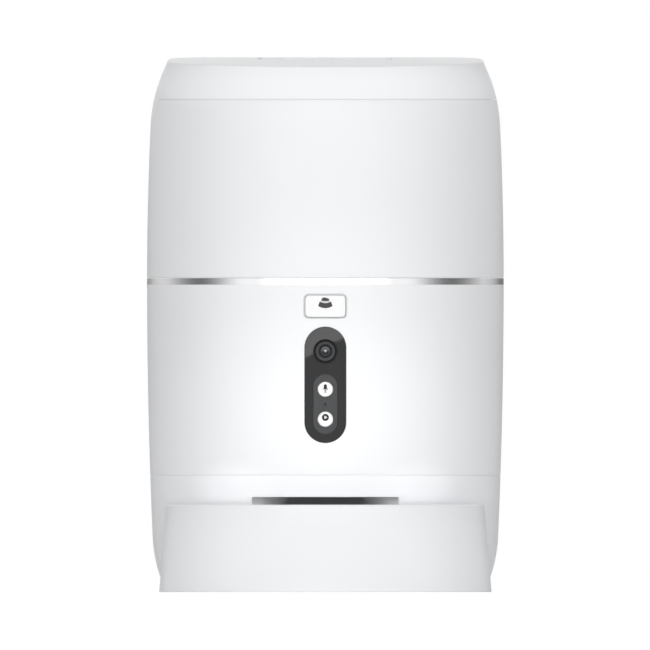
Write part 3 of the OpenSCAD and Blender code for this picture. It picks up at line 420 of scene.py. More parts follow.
# The outlet's lower edge follows the floor of the chute, which rises to the back.
outlet = rounded(outlet_w, outlet_h, outlet_soft, outlet_z)
outlet_tool = prism("outlet_tool", outlet, front_near, front_far, white_abs)
chute_floor = [(-0.16, -0.0172), (-0.06, 0.0887), (-0.06, -0.0172)]
ramp = [[(x, axis_y + y, z) for y, z in chute_floor] for x in (-0.06, 0.06)]
alter(outlet_tool, loft("ramp_tool", ramp, white_abs))
alter(base_casing, outlet_tool)
for x in (-tongue_x, tongue_x):
    slot = rounded(tongue_w + tongue_gap, tongue_h + tongue_gap, tongue_soft, tongue_z, 3)
    slot = [(x + px, pz) for px, pz in slot]
    alter(base_casing, prism("tongue_slot_tool", slot, axis_y - 0.115, axis_y - 0.07, white_abs))
for i in range(-3, 4):
    across = 2 * sqrt(speaker_r ** 2 - (speaker_step * i) ** 2)
    slot = rounded(across, slit_h, slit_soft, speaker_z + speaker_step * i, 4)
    alter(base_casing, prism("speaker_slot_tool", slot, back_near, back_far, white_abs))
socket_hole = [(socket_x + x, socket_z + z) for x, z in disc_points(socket_r, 24)]
alter(base_casing, prism("socket_tool", socket_hole, back_near, back_far, white_abs))
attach(base_casing, "body")
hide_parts("base_shell")

# BOTTOM PLATE, FEET AND SCREWS
# A flat grey ABS plate with a spark-eroded grain closes the base from below, held by four countersunk
# zinc-plated screws. Four moulded rubber feet with grip rings are glued into shallow seats in it.
foot_r, foot_h, grip_bead = 0.0075, 0.0038, 0.0003
foot_spots = [(s * x, axis_y + y) for s in (-1, 1) for x, y in ((0.07226, -0.04232), (0.07823, 0.04588))]


def dress(material, *names):
    """Gives carried-over solids a finish."""
    for name in names:
        for place_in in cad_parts[name].material_slots:
            place_in.material = material


def repeat(name, points, tree, sizes, material):
    """Grows a tree's shape on each point and keeps the result as a plain mesh."""
    mesh = bpy.data.meshes.new(name)
    mesh.from_pydata(points, [], [])
    made = put(name, mesh)
    grown = made.modifiers.new("repeat", "NODES")
    grown.node_group = tree
    for socket in tree.interface.items_tree:
        if socket.in_out == "INPUT" and socket.name in sizes:
            grown[socket.identifier] = sizes[socket.name]
        if socket.in_out == "INPUT" and socket.name == "Material":
            grown[socket.identifier] = material
    graph = bpy.context.evaluated_depsgraph_get()
    made.data = bpy.data.meshes.new_from_object(made.evaluated_get(graph))
    made.modifiers.remove(grown)
    made.data.set_sharp_from_angle(angle=radians(40))
    return made


def shape_tree(name, *sizes):
    """Starts a node tree with a geometry input, named sizes and a material."""
    tree = bpy.data.node_groups.new(name, "GeometryNodeTree")
    tree.interface.new_socket("Geometry", in_out="OUTPUT", socket_type="NodeSocketGeometry")
    tree.interface.new_socket("Geometry", in_out="INPUT", socket_type="NodeSocketGeometry")
    for size in sizes:
        tree.interface.new_socket(size, in_out="INPUT", socket_type="NodeSocketFloat")
    tree.interface.new_socket("Material", in_out="INPUT", socket_type="NodeSocketMaterial")
    return tree, add(tree, "NodeGroupInput").outputs


def set_out(tree, given, shape):
    """Ends a node tree: the shape stands on every point, is made real and gets the material."""
    spread = add(tree, "GeometryNodeInstanceOnPoints",
                 Points=given["Geometry"], Instance=shape)
    real = add(tree, "GeometryNodeRealizeInstances", Geometry=spread)
    clad = add(tree, "GeometryNodeSetMaterial", Geometry=real, Material=given["Material"])
    add(tree, "NodeGroupOutput", Geometry=clad)


# Grey ABS: spark-eroded moulding, matt, with a grain of 1 mm and finer that breaks the highlight.
grey_abs = mottled("grey_abs_spark_grain", 0.0011, 4.0, "#B4B6B8", "#C2C4C6",
                   {"Roughness": 0.62, "IOR": 1.5}, bump=(0.25, 0.0003))
dress(grey_abs, "bottom_plate")

# Rubber: matt and nearly black, dusted lighter where the mould was coarse, about 1 mm patches.
rubber = mottled("black_rubber_moulded", 0.0012, 5.0, "#1E1E1F", "#343435",
                 {"Roughness": 0.85, "IOR": 1.52}, bump=(0.3, 0.0002))

# A foot is a drum with a bevelled sole and two grip rings under it, set on each of four points.
tree, given = shape_tree("rubber_foot", "Radius", "Height", "Bevel", "Ring")
rise = add(tree, "ShaderNodeMath", {"operation": "SUBTRACT"}, n0=given["Height"], n1=given["Bevel"])
middle = add(tree, "ShaderNodeMath", {"operation": "MULTIPLY_ADD", 1: 0.5},
             n0=rise, n2=given["Bevel"])
lift = add(tree, "ShaderNodeCombineXYZ", Z=middle)
drum = add(tree, "GeometryNodeMeshCylinder", {"Vertices": 48},
           Radius=given["Radius"], Depth=rise)
drum = add(tree, "GeometryNodeTransform", Geometry=drum.outputs["Mesh"], Translation=lift)
sole_r = add(tree, "ShaderNodeMath", {"operation": "SUBTRACT"}, n0=given["Radius"], n1=given["Bevel"])
sole = add(tree, "GeometryNodeMeshCone", {"Vertices": 48}, Radius_Top=given["Radius"],
           Radius_Bottom=sole_r, Depth=given["Bevel"])
joined = add(tree, "GeometryNodeJoinGeometry", Geometry=drum)
tree.links.new(sole.outputs["Mesh"], joined.inputs[0])
bead = add(tree, "GeometryNodeCurvePrimitiveCircle", {"Resolution": 8, "Radius": grip_bead})
for share in (1.0, 0.5):
    ring_r = add(tree, "ShaderNodeMath", {"operation": "MULTIPLY", 1: share}, n0=given["Ring"])
    loop = add(tree, "GeometryNodeCurvePrimitiveCircle", {"Resolution": 48}, Radius=ring_r)
    ring = add(tree, "GeometryNodeCurveToMesh", Curve=loop, Profile_Curve=bead)
    tree.links.new(ring.outputs[0], joined.inputs[0])
smooth = add(tree, "GeometryNodeSetShadeSmooth", Geometry=joined)
set_out(tree, given, smooth)
feet = repeat("rubber_feet_moulded", [(x, y, grip_bead) for x, y in foot_spots], tree,
              {"Radius": foot_r, "Height": foot_h - grip_bead, "Bevel": 0.0007, "Ring": 0.0054}, rubber)
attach(feet, "body")
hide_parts("rubber_feet")

# Zinc-plated steel: bright, faintly clouded by the plating bath in patches of about 0.8 mm.
zinc = mottled("steel_zinc_plated", 0.0008, 3.0, "#B9BBBE", "#D2D3D5",
               {"Metallic": 1.0}, rough=(0.24, 0.38))
dress(zinc, "case_screws")

# BATTERY BAY
# A box for three D cells, moulded in black ABS and clipped over the plate, with plated spring
# contacts pushed into its ends. A grey cover with finger ribs slides over it from below.
# Black ABS: plain moulding, half matt, with a slight cloudiness about 2 mm wide.
black_abs = mottled("black_abs_moulded", 0.002, 3.0, "#232325", "#2E2E30", {"IOR": 1.5}, rough=(0.42, 0.55))
dress(black_abs, "battery_box")
dress(zinc, "battery_contacts")
dress(grey_abs, "battery_cover")
cover_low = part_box("battery_cover")[0]

# The ribs: rounded bars on the lands between the grooves of the cover, one every 3 mm.
tree, given = shape_tree("finger_ribs", "Length", "Thickness")
rail = add(tree, "GeometryNodeCurvePrimitiveLine")
reach = add(tree, "ShaderNodeMath", {"operation": "MULTIPLY", 1: 0.5}, n0=given["Length"])
back = add(tree, "ShaderNodeMath", {"operation": "MULTIPLY", 1: -0.5}, n0=given["Length"])
for end, far in (("Start", back), ("End", reach)):
    spot = add(tree, "ShaderNodeCombineXYZ", X=far)
    tree.links.new(spot.outputs[0], rail.inputs[end])
round_bar = add(tree, "GeometryNodeCurvePrimitiveCircle", {"Resolution": 12}, Radius=given["Thickness"])
bar = add(tree, "GeometryNodeCurveToMesh", {"Fill Caps": True},
          Curve=rail, Profile_Curve=round_bar)
set_out(tree, given, bar)
rib_y, rib_z = cover_low[1] + 0.0428, cover_low[2] + 0.0002
rib_step = 0.003
ribs = repeat("cover_finger_ribs", [(0.0, rib_y + rib_step * i, rib_z) for i in range(6)], tree,
              {"Length": 0.024, "Thickness": 0.0008}, grey_abs)
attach(ribs, "battery_cover")

# SPEAKER AND POWER SOCKET
# A small speaker in a black frame sits behind the slots at the back, and a round black power socket is
# snapped into the wall beside it.
dress(black_abs, "speaker", "dc_jack")

# FOOD CHUTE
# The slide under the drop hole, moulded in food-safe polypropylene. It flares to the outlet over the bowl
# and is held between the rotor housing and the base casing.
# Natural polypropylene: waxy, slightly warm white, matt, with soft flow marks about 8 mm long.
natural_pp = mottled("polypropylene_natural", 0.008, 2.0, "#E6E6E4", "#EFEFED",
                     {"IOR": 1.49}, rough=(0.45, 0.58))
# Polypropylene of the chute: pale grey at the flared mouth, darkened towards the throat by painted shade
# where the light does not reach in.
chute_pp, tree, place = finish("polypropylene_grey_painted_shade")
aside = add(tree, "ShaderNodeSeparateXYZ", Vector=place)
reach = add(tree, "ShaderNodeMath", {"operation": "ABSOLUTE"}, n0=aside)
mouth = add(tree, "ShaderNodeMapRange", {"From Min": 0.0240, "From Max": 0.0420}, Value=reach)
flow = noise(tree, place, 0.006, 2.0)
# Painted shade: the colour goes from the pale mouth to a mid-grey throat.
tone = add(tree, "ShaderNodeMixRGB", Fac=mouth,
           Color1=blend(tree, "#848586", "#8C8D8E", flow), Color2=blend(tree, "#E0E1E2", "#E6E7E8", flow))
surface(tree, {"Roughness": 0.5, "IOR": 1.49}, Base_Color=tone)
dress(chute_pp, "food_chute")

# DISPENSER
# Under the hopper a six-bladed rotor turns in a round housing and pushes one portion after another over the
# drop hole. A guard plate covers the hole from above, and soft silicone tips wipe the wall.
dress(natural_pp, "rotor_housing", "drop_guard")
# Grey polypropylene of the rotor: as the housing, but coloured through, with a finer cloud of about 3 mm.
rotor_pp = mottled("polypropylene_light_grey", 0.003, 2.0, "#D2D2CE", "#DADAD6",
                   {"Roughness": 0.5, "IOR": 1.49})
dress(rotor_pp, "rotor", "agitator")
# Silicone: matt, soft to the eye, with fine dust-grey mottling of about 1 mm.
silicone = mottled("silicone_grey", 0.001, 4.0, "#AEB0B2", "#B9BBBD", {"Roughness": 0.75, "IOR": 1.41})
dress(silicone, "rotor_tips")
# Acetal: ivory, dense and slippery, with a satin skin.
acetal = mottled("acetal_natural", 0.004, 2.0, "#EAE6D8", "#F0EDE2", {"Roughness": 0.36, "IOR": 1.48})
dress(acetal, "upper_bush", "lower_bush", "rotor_gear")
# Ground steel of the shafts: fine rings from turning, drawn about 0.8 mm apart so that they show.
ground_steel, tree, place = finish("steel_turned")
marks = add(tree, "ShaderNodeTexWave",
            {"bands_direction": "Z", "Scale": pi / 10 / 0.0007896, "Distortion": 1.5}, Vector=place)
surface(tree, {"Metallic": 1.0, "Base Color": linear("#C4C5C8")},
        Roughness=spread_out(tree, (0.2, 0.34), marks.outputs["Fac"]))
dress(ground_steel, "rotor_shaft")

# DRIVE
# A gear motor hangs under a moulded frame and turns the rotor's shaft by a pinion and a gear of acetal.
# The frame stands on posts under the rotor housing, and two screws hold the gearbox to it.
dress(natural_pp, "gear_frame")
dress(zinc, "gear_motor", "motor_screws")
dress(ground_steel, "motor_shaft")
dress(acetal, "motor_pinion")

# BOARDS
# Glass-fibre boards with green solder mask: the main board on posts at the back, smaller ones behind the
# feed button, the lens and the round buttons, with push switches and a microphone on them.
# Solder mask: glossy green over copper tracks that show as paler lines about 0.9 mm apart.
solder_mask, tree, place = finish("fibreglass_green_mask")
tracks = add(tree, "ShaderNodeTexBrick", {
    "Scale": 1 / 0.0036, "Color1": linear("#1E6B3C"), "Color2": linear("#1A5E35"),
    "Mortar": linear("#3B8A55"), "Mortar Size": 0.03}, Vector=place)
surface(tree, {"Roughness": 0.3, "IOR": 1.52}, Base_Color=tracks)
dress(solder_mask, "main_board", "feed_board", "camera_board", "button_board")
dress(black_abs, "feed_switch", "button_switches", "microphone")

# MAIN HOUSING
# The middle casing, a white ABS moulding that stands on the base. Its front has a rounded opening for the
# feed button and a long one for the camera panel; posts inside carry the boards.
housing_high = 0.2028
panel_w, panel_h, panel_z = 0.0277, 0.0769, 0.1367
feed_w, feed_h, feed_r, feed_z = 0.029, 0.0168, 0.0036, 0.1886
board_depth, board_t = 0.0135, 0.0016
board_y = axis_y + 0.0624
post_r, post_x, post_z = 0.003, 0.036, (0.094, 0.144)
feed_post_r, feed_post_x = 0.0022, 0.020


def front_y(x, z, proud=0.0):
    """Depth of the curved front at a place, raised by a height."""
    return axis_y - sqrt((body_r + tuck(z) + proud) ** 2 - x * x)


def turned(name, section, x, z, material, closed=False, count=48):
    """Turns a section of radii and depths round a line that runs from front to back."""
    spin = [radians(360 * i / count) for i in range(count)]
    rings = [[(x + r * cos(a), y, z + r * sin(a)) for a in spin] for r, y in section]
    return loft(name, rings, material, closed)


def rod(name, r, y0, y1, x, z, material, count=24):
    """Round rod that runs from front to back."""
    return turned(name, [(r, y0), (r, y1)], x, z, material, count=count)


housing_line = casing_profile(base_high, housing_high, soft_low=0.0006, soft_high=0.0001)
housing = band("main_housing_casing", housing_line, white_abs)
feed_hole = rounded(feed_w, feed_h, feed_r, feed_z)
alter(housing, prism("feed_tool", feed_hole, front_near, front_far, white_abs))
panel_hole = rounded(panel_w, panel_h, panel_w / 2, panel_z, 16)
alter(housing, prism("panel_tool", panel_hole, front_near, front_far, white_abs))
for x in (-post_x, post_x):
    for z in post_z:
        back = axis_y + side_len + corner_r + tuck(z) - wall / 2
        alter(housing, rod("board_post", post_r, board_y + board_t, back, x, z, white_abs), "UNION")
for x in (-feed_post_x, feed_post_x):
    near = front_y(x, feed_z, -wall / 2)
    far = front_y(0, feed_z) + board_depth
    alter(housing, rod("feed_post", feed_post_r, near, far, x, feed_z, white_abs), "UNION")
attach(housing, "body")
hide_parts("main_housing")

# FEED BUTTON
# A flat white push button in a thin satin-grey frame, both snapped into the front from inside.
# A bowl sign is pad-printed on it.
feed_line = 0.0008
cap_w, cap_h, cap_r = 0.0267, 0.0145, 0.0025
# Clearance of the pieces that sit in openings of the front.
fit = 0.0001


def pad(name, w, h, r, z, material, proud, depth, soft, steps=8):
    """Rounded plate that follows the curved front, with a softened edge."""
    insets = [(0.0, -depth), (0.0, proud - soft)]
    insets += [(inset, proud - drop) for inset, drop in quarter_round(soft, fine_turn[1:])]
    most = min(w, h) / 2 * 0.985
    insets += [(soft + (most - soft) * (i / 12) ** 2, proud) for i in range(1, 13)]
    line = rounded(w, h, r, z, steps)
    cuts = [max(1, round(dist(a, b) / 0.003)) for a, b in zip(line, line[1:] + line[:1])]
    rings = []
    for inset, rise in insets:
        line = rounded(w - 2 * inset, h - 2 * inset, max(r - inset, 0.0), z, steps)
        ring = []
        for a, b, parts in zip(line, line[1:] + line[:1], cuts):
            for i in range(parts):
                x = a[0] + (b[0] - a[0]) * i / parts
                at = a[1] + (b[1] - a[1]) * i / parts
                ring.append((x, front_y(x, at, rise), at))
        rings.append(ring)
    return loft(name, rings, material)


# Satin grey paint on the frame: metallic flakes about 0.3 mm across under a thin lacquer.
grey_paint, tree, place = finish("satin_grey_paint")
flake = add(tree, "ShaderNodeTexVoronoi", {"Scale": 1 / 0.0003}, Vector=place)
surface(tree, {"Roughness": 0.4, "Metallic": 0.25}, Base_Color=blend(tree, "#CBCDCF", "#D4D6D8", flake))
rim_w, rim_h = feed_w - fit, feed_h - fit
feed_frame = pad("feed_frame", rim_w, rim_h, feed_r, feed_z, grey_paint,
                 proud=0.00015, depth=0.004, soft=0.00015)
inner = rounded(rim_w - 2 * feed_line, rim_h - 2 * feed_line, feed_r - feed_line, feed_z)
alter(feed_frame, prism("frame_tool", inner, front_near, front_far, grey_paint))
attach(feed_frame, "body")
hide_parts("feed_bezel")

# White button ABS: as the casing, but polished, so that its edge catches a fine line of light.
button_abs = mottled("white_abs_button", 0.01, 2.0, "#F4F4F4", "#F7F7F7",
                     {"IOR": 1.5, "Specular IOR Level": 0.4}, rough=(0.28, 0.34))
feed_cap = pad("feed_cap", cap_w, cap_h, cap_r, feed_z, button_abs,
               proud=0.00035, depth=0.0049, soft=0.0006)
flange = pad("cap_flange", cap_w + 0.003, cap_h + 0.0024, cap_r, feed_z, button_abs,
             proud=-0.0043, depth=0.0055, soft=0.0001)
alter(feed_cap, flange, "UNION")
feed_y = front_y(0, feed_z)
alter(feed_cap, rod("cap_stem", 0.003, feed_y + 0.005, feed_y + 0.0081, 0.0, feed_z, button_abs), "UNION")
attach(feed_cap, "feed_button")
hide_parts("feed_button")

# Pad-printing ink: a dull dark film, thin and slightly uneven at 0.4 mm.
ink = mottled("dark_pad_ink", 0.0004, 2.0, "#3B393A", "#474546", {"Roughness": 0.6})
# The same ink thinned to a pale grey, for the lit inside of the bowl sign.
pale_ink = mottled("pale_pad_ink", 0.0004, 2.0, "#BFBFC0", "#CACACB", {"Roughness": 0.6})
bend = [i / 8 for i in range(-8, 9)]
bowl_sign = [(0.00473 * b, feed_z - 0.0013 + 0.0014 * b * b) for b in bend]
bowl_sign += [(-0.0037 * b, feed_z + 0.0021 + 0.0011 * b * b) for b in bend]
heap_sign = [(0.0027 * b, feed_z + 0.0034 + 0.0003 * b * b) for b in bend]
heap = ((0.0026, 0.0044), (0.0021, 0.0050), (0.0006, 0.0055), (-0.0006, 0.0058),
        (-0.0016, 0.0057), (-0.0022, 0.0051), (-0.0026, 0.0042))
heap_sign += [(x, feed_z + z) for x, z in heap]
rim_sign = [(0.0028 * b, feed_z + 0.0024 + 0.0006 * b * b) for b in bend]
rim_sign += [(-0.0028 * b, feed_z + 0.0033 + 0.0003 * b * b) for b in bend]
for name, sign, film in (("feed_sign_bowl", bowl_sign, ink), ("feed_sign_heap", heap_sign, ink),
                         ("feed_sign_rim", rim_sign, pale_ink)):
    skin = pad(name, 0.024, 0.012, 0.0015, feed_z, film, proud=0.00038, depth=-0.0003, soft=0.00001)
    alter(skin, prism("sign_tool", sign, front_near, front_far, film), "INTERSECT")
    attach(skin, "feed_button")

# CAMERA PANEL
# A long dark-grey acrylic panel with polished faces and a rounded rim, pressed into the housing from
# inside. It carries the lens above and a satin control plate with two round white buttons below.
lens_z, lens_r = 0.1589, 0.008
plate_w, plate_h, plate_z = 0.0158, 0.0396, 0.1239
button_r, button_step, button_gap = 0.0049, 0.0099, 0.0003
proud, panel_deep = 0.0006, 0.0036
panel_far = axis_y - 0.09
stud_r, stud_x = 0.0017, 0.0108
stud_z = (plate_z - 0.0149, plate_z + 0.0151, lens_z - 0.0094, lens_z + 0.0094)
cap_flange_r, cap_flange_t, stem_r = 0.0058, 0.0012, 0.002
# Dark acrylic: coloured through and polished, so it mirrors the studio weakly but sharply. Its gloss
# varies a little in patches about 20 mm long.
acrylic = mottled("dark_acrylic_polished", 0.02, 1.0, "#3B3B3C", "#3E3E3F",
                  {"IOR": 1.49, "Specular IOR Level": 0.4}, rough=(0.015, 0.025))
panel = pad("camera_panel_acrylic", panel_w - 2 * fit, panel_h - 2 * fit, panel_w / 2 - fit, panel_z,
            acrylic, proud=proud, depth=panel_deep, soft=0.0003, steps=16)
flange = pad("panel_flange", panel_w + 0.005, panel_h + 0.005, panel_w / 2 + 0.0025, panel_z,
             acrylic, proud=-0.00265, depth=0.0044, soft=0.0001, steps=16)
alter(panel, flange, "UNION")
carry_y = front_y(0, panel_z) + board_depth
for x in (-stud_x, stud_x):
    for z in stud_z:
        post = rod("panel_post", stud_r, front_y(x, z, -panel_deep), carry_y, x, z, acrylic, 20)
        alter(panel, post, "UNION")
plate_hole = rounded(plate_w, plate_h, plate_w / 2, plate_z, 12)
alter(panel, prism("plate_tool", plate_hole, front_near, panel_far, acrylic))
alter(panel, rod("lens_tool", lens_r, front_near, panel_far, 0.0, lens_z, acrylic, 64))
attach(panel, "body")
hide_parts("camera_panel")

# Satin grey ABS of the control plate: a lightly etched tool gives a dull sheen, grain about 0.6 mm.
satin_grey = mottled("grey_abs_satin", 0.0006, 3.0, "#393A3B", "#3F4041",
                     {"Roughness": 0.42, "IOR": 1.5}, bump=(0.06, 0.0002))
plate = pad("control_plate_satin", plate_w - fit, plate_h - fit, (plate_w - fit) / 2, plate_z,
            satin_grey, proud=proud + 0.00015, depth=0.0052, soft=0.00015, steps=12)
for z in (plate_z - button_step, plate_z + button_step):
    hole = rod("button_tool", button_r + button_gap, front_near, panel_far, 0.0, z, satin_grey, 48)
    alter(plate, hole)
alter(plate, rod("mic_tool", 0.0007, front_near, panel_far, 0.0, plate_z, satin_grey))
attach(plate, "body")
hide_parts("control_plate")

# The round buttons: turned caps with a rounded rim, a flange behind the plate and a stem to the switch.
for body, z in (("record_button", plate_z + button_step), ("play_button", plate_z - button_step)):
    face = front_y(0, z) - proud - 0.0006
    rim = [(button_r - inset, face + drop) for inset, drop in quarter_round(0.0005, reversed(fine_turn))]
    behind = front_y(0, z) + 0.006
    stem_end = carry_y - 0.00495
    section = [(0.0, face)] + rim
    section += [(button_r, behind), (cap_flange_r, behind), (cap_flange_r, behind + cap_flange_t),
                (stem_r, behind + cap_flange_t), (stem_r, stem_end), (0.0, stem_end)]
    cap = turned(body + "_cap", section, 0.0, z, button_abs)
    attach(cap, body)
    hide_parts(body)

# The signs on them: a microphone above, a play mark in a disc below, in a blacker ink.
black_ink = mottled("black_pad_ink", 0.0004, 2.0, "#161617", "#212122", {"Roughness": 0.6})
sign_rise, film_t = 0.00063, 0.00008
mic_z, play_z = plate_z + button_step, plate_z - button_step
mic_face = front_y(0, mic_z) - proud - sign_rise
cradle = [(cos(radians(a)), sin(radians(a))) for a in range(180, 361, 15)]
mic_shapes = [rounded(0.0021, 0.0036, 0.00105, mic_z + 0.0015, 6),
              [(0.0018 * c, mic_z + 0.0011 + 0.0021 * s) for c, s in cradle]
              + [(0.0015 * c, mic_z + 0.0011 + 0.0018 * s) for c, s in reversed(cradle)],
              rounded(0.0004, 0.0010, 0.0001, mic_z - 0.0014, 2),
              rounded(0.0020, 0.0004, 0.0001, mic_z - 0.0019, 2)]
for i, shape in enumerate(mic_shapes):
    sign = prism("microphone_sign_%d" % i, shape, mic_face, mic_face + film_t, black_ink)
    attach(sign, "record_button")
play_face = front_y(0, play_z) - proud - sign_rise
disc = rod("play_sign", 0.00235, play_face, play_face + film_t, 0.0, play_z + 0.0012, black_ink, 48)
arrow = [(-0.0006, play_z + 0.0001), (0.0013, play_z + 0.0012), (-0.0006, play_z + 0.0023)]
alter(disc, prism("arrow_tool", arrow, play_face - 0.001, play_face + 0.001, black_ink))
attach(disc, "play_button")

# LENS
# The camera: a black turned ring in the panel, a grey stepped barrel inside it and a coated glass in front
# of the sensor board.
ring_r, barrel_r, glass_r = 0.00795, 0.00635, 0.00458
dome_r, step = 0.0066, 0.0004
lens_y = front_y(0, lens_z)
dome_y, glass_end = lens_y + 0.0074, lens_y + 0.0053
# Black anodised ring: dark, with a narrow highlight on its rounded edge and a faint cloud of 0.6 mm.
anodised = mottled("aluminium_black_anodised", 0.0006, 2.0, "#1B1C1C", "#242525",
                   {"Specular IOR Level": 0.12}, rough=(0.5, 0.6))
ring_face = lens_y - proud - 0.0005
ring_end = ring_face + 0.005
ring_line = [(ring_r - inset, ring_face + drop) for inset, drop in quarter_round(0.00015, (0, 30, 60, 90))]
ring_line += [(0.0072, ring_face), (0.0067, ring_face + 0.0008), (0.0064, ring_face + 0.0012),
              (0.0064, ring_end), (ring_r, ring_end)]
lens_ring = turned("lens_ring_turned", ring_line, 0.0, lens_z, anodised, True, 72)
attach(lens_ring, "body")
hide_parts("lens_ring")
# Grey barrel: moulded with fine steps against stray light, a shade lighter than the ring.
barrel_grey = mottled("barrel_grey_stepped", 0.0008, 3.0, "#363738", "#3C3D3E", {"Roughness": 0.5})
mouth = lens_y + 0.0004
floor_y = mouth + 0.005
barrel_line = [(barrel_r, mouth), (0.0058, mouth)]
for i in range(3):
    depth = mouth + step * (i + 1)
    barrel_line += [(0.0058 - step * i, depth), (0.0054 - step * i, depth)]
barrel_line += [(0.0046, mouth + 0.0014), (0.0046, floor_y), (0.0, floor_y),
                (0.0, carry_y), (barrel_r, carry_y)]
barrel = turned("lens_barrel_stepped", barrel_line, 0.0, lens_z, barrel_grey, True, 72)
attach(barrel, "body")
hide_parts("lens_barrel")
# Coated glass whose colour is painted shade and light: almost black where one looks into the stop, with
# paler rings of painted light for the rims of the inner elements round it, at the radii of such a small
# objective.
lens_painted_shade, tree, place = finish("glass_coated_painted_shade")
centred = add(tree, "ShaderNodeMapping", {"Location": (0.0, -lens_y, -lens_z)}, Vector=place)
across = add(tree, "ShaderNodeVectorMath", {"operation": "MULTIPLY", 1: (1.0, 0.0, 1.0)},
             n0=centred)
away = add(tree, "ShaderNodeVectorMath", {"operation": "LENGTH"}, n0=across)
share = add(tree, "ShaderNodeMapRange", {"From Max": 0.0046}, Value=away.outputs["Value"])
# Painted shade of the stop and painted light on the inner rims, as rings of colour on the glass.
shades = add(tree, "ShaderNodeValToRGB", Fac=share)
shades.color_ramp.elements[0].color = linear("#0B0B0C")
shades.color_ramp.elements[1].color = linear("#2A2A2B")
for spot, shade in ((0.52, "#0D0D0E"), (0.60, "#505254"), (0.68, "#2C2D2F"), (0.84, "#2E2F31"),
                    (0.92, "#4A4B4D")):
    shades.color_ramp.elements.new(spot).color = linear(shade)
surface(tree, {"Roughness": 0.03, "IOR": 1.6}, Base_Color=shades)
dome = []
for i in range(11):
    r = glass_r * i / 10
    dome.append((r, dome_y - sqrt(dome_r ** 2 - r * r)))
dome += [(glass_r, glass_end), (0.0, glass_end)]
glass = turned("lens_glass_dome", dome, 0.0, lens_z, lens_painted_shade, count=72)
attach(glass, "body")
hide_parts("lens_glass")
# The front element in the stop carries a bright reflecting coat and catches the studio light.
bright_coat = mottled("glass_bright_coat", 0.001, 2.0, "#8E9093", "#97999C",
                      {"Metallic": 1.0, "Roughness": 0.3})
bead_y = lens_y + 0.0008
turns = [radians(15 * i) for i in range(7)]
bead = [(0.001 * sin(a), bead_y - 0.0002 * cos(a) + 0.0001) for a in turns]
bead.append((0.0, bead_y + 0.0002))
element = turned("lens_front_element", bead, 0.0, lens_z, bright_coat, count=32)
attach(element, "body")

# TRIM BAND
# A bright band between housing and hopper: chrome-plated ABS, snapped over the housing's upper edge.
trim_high, trim_gap, trim_thick = 0.2072, 0.0001, 0.0039
# A mirror shows smoothed edges as dark lines, so the band's edges stay crisp from a smaller angle on.
plated_crisp = 10
# Chrome plating: a mirror with a trace of orange peel about 6 mm wide that ripples what it mirrors.
chrome, tree, place = finish("chrome_plated_abs")
peel = noise(tree, place, 0.006, 1.0)
surface(tree, {"Metallic": 1.0, "Base Color": linear("#FBFBFC")},
        Roughness=spread_out(tree, (0.14, 0.2), peel), Normal=relief(tree, (0.01, 0.0004), peel))
trim_line = casing_profile(housing_high, trim_high - trim_gap, 0.00005, 0.0001, thickness=trim_thick)
trim = band("trim_band_chrome", trim_line, chrome, plated_crisp)
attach(trim, "body")
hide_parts("trim_band")

# HOPPER
# The upper casing, again white ABS, with a ledge inside its mouth. The funnel liner of polypropylene hangs
# on that ledge and keeps the food off the casing.
hopper_high = 0.32494
lid_seam = 0.325
lid_edge = tuck(lid_seam)
ledge_in = lid_edge - 0.0039
hang_low, hang_high = 0.318, 0.3205
wall_line = casing_profile(trim_high, hopper_high, soft_low=0.0006, soft_high=0.00015)
outer_line, inner_line = wall_line[:-inner_rows], wall_line[-inner_rows:]
over_ledge = [p for p in inner_line if p[1] >= hang_high]
under_ledge = [p for p in inner_line if p[1] <= hang_low]
ledge = [(tuck(hang_high) - wall, hang_high), (ledge_in, hang_high),
         (ledge_in, hang_low), (tuck(hang_low) - wall, hang_low)]
hopper = band("hopper_casing", outer_line + over_ledge + ledge + under_ledge, white_abs)
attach(hopper, "body")
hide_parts("hopper_shell")
dress(natural_pp, "hopper_funnel")

# LID
# The lift-off lid: a white ABS cap whose top slopes to the front, with a finger recess at the rear. A plug
# lip with a silicone seal fits the hopper's mouth, and a desiccant box hangs under it.
lid_low = 0.32506
lid_front_z = 0.347
lid_front_y = -(body_r + tuck(lid_front_z))
tilt = tan(radians(1.97))
grip_half, grip_y0, grip_y1, grip_low, grip_high = 0.044, 0.0140, 0.0620, -0.005, 0.01
lid_soft, room_soft = 0.0014, 0.0004
lid_rows, lid_crisp = 9, 40


def lid_top(y):
    """Height of the sloping top at a depth from the body's axis."""
    return lid_front_z + (y - lid_front_y) * tilt


def lid_block(name, inset, low, drop, soft):
    """Closed cap on the body's plan under the sloping top, drawn in by an inset and softest at the back."""
    columns = []
    for x, y, nx, ny in plan:
        top = lid_front_z
        for _ in range(8):
            top = lid_top(y + ny * (tuck(top) - inset)) - drop
        edge = soft * (1.75 + 0.75 * ny)
        column = []
        for i in range(lid_rows):
            z = low + (top - edge - low) * i / (lid_rows - 1)
            column.append((tuck(z) - inset, z))
        for side, down in quarter_round(edge, fine_turn[1:]):
            t = tuck(top - edge) - inset - side
            column.append((t, lid_top(y + ny * t) - drop - down))
        columns.append([(x + nx * t, y + ny * t + axis_y, z) for t, z in column])
    return loft(name, list(zip(*columns)), white_abs, sharp=lid_crisp)


def sloped_box(name, half_w, y0, y1, low, high):
    """Box with rounded corners in plan that lies along the sloping top."""
    middle = (y0 + y1) / 2
    outline = [(x, middle + y) for x, y in corners_turned(2 * half_w, y1 - y0, 0.005, 8)]
    rings = [[(x, y + axis_y, lid_top(y) + h) for x, y in outline] for h in (low, high)]
    return loft(name, rings, white_abs)


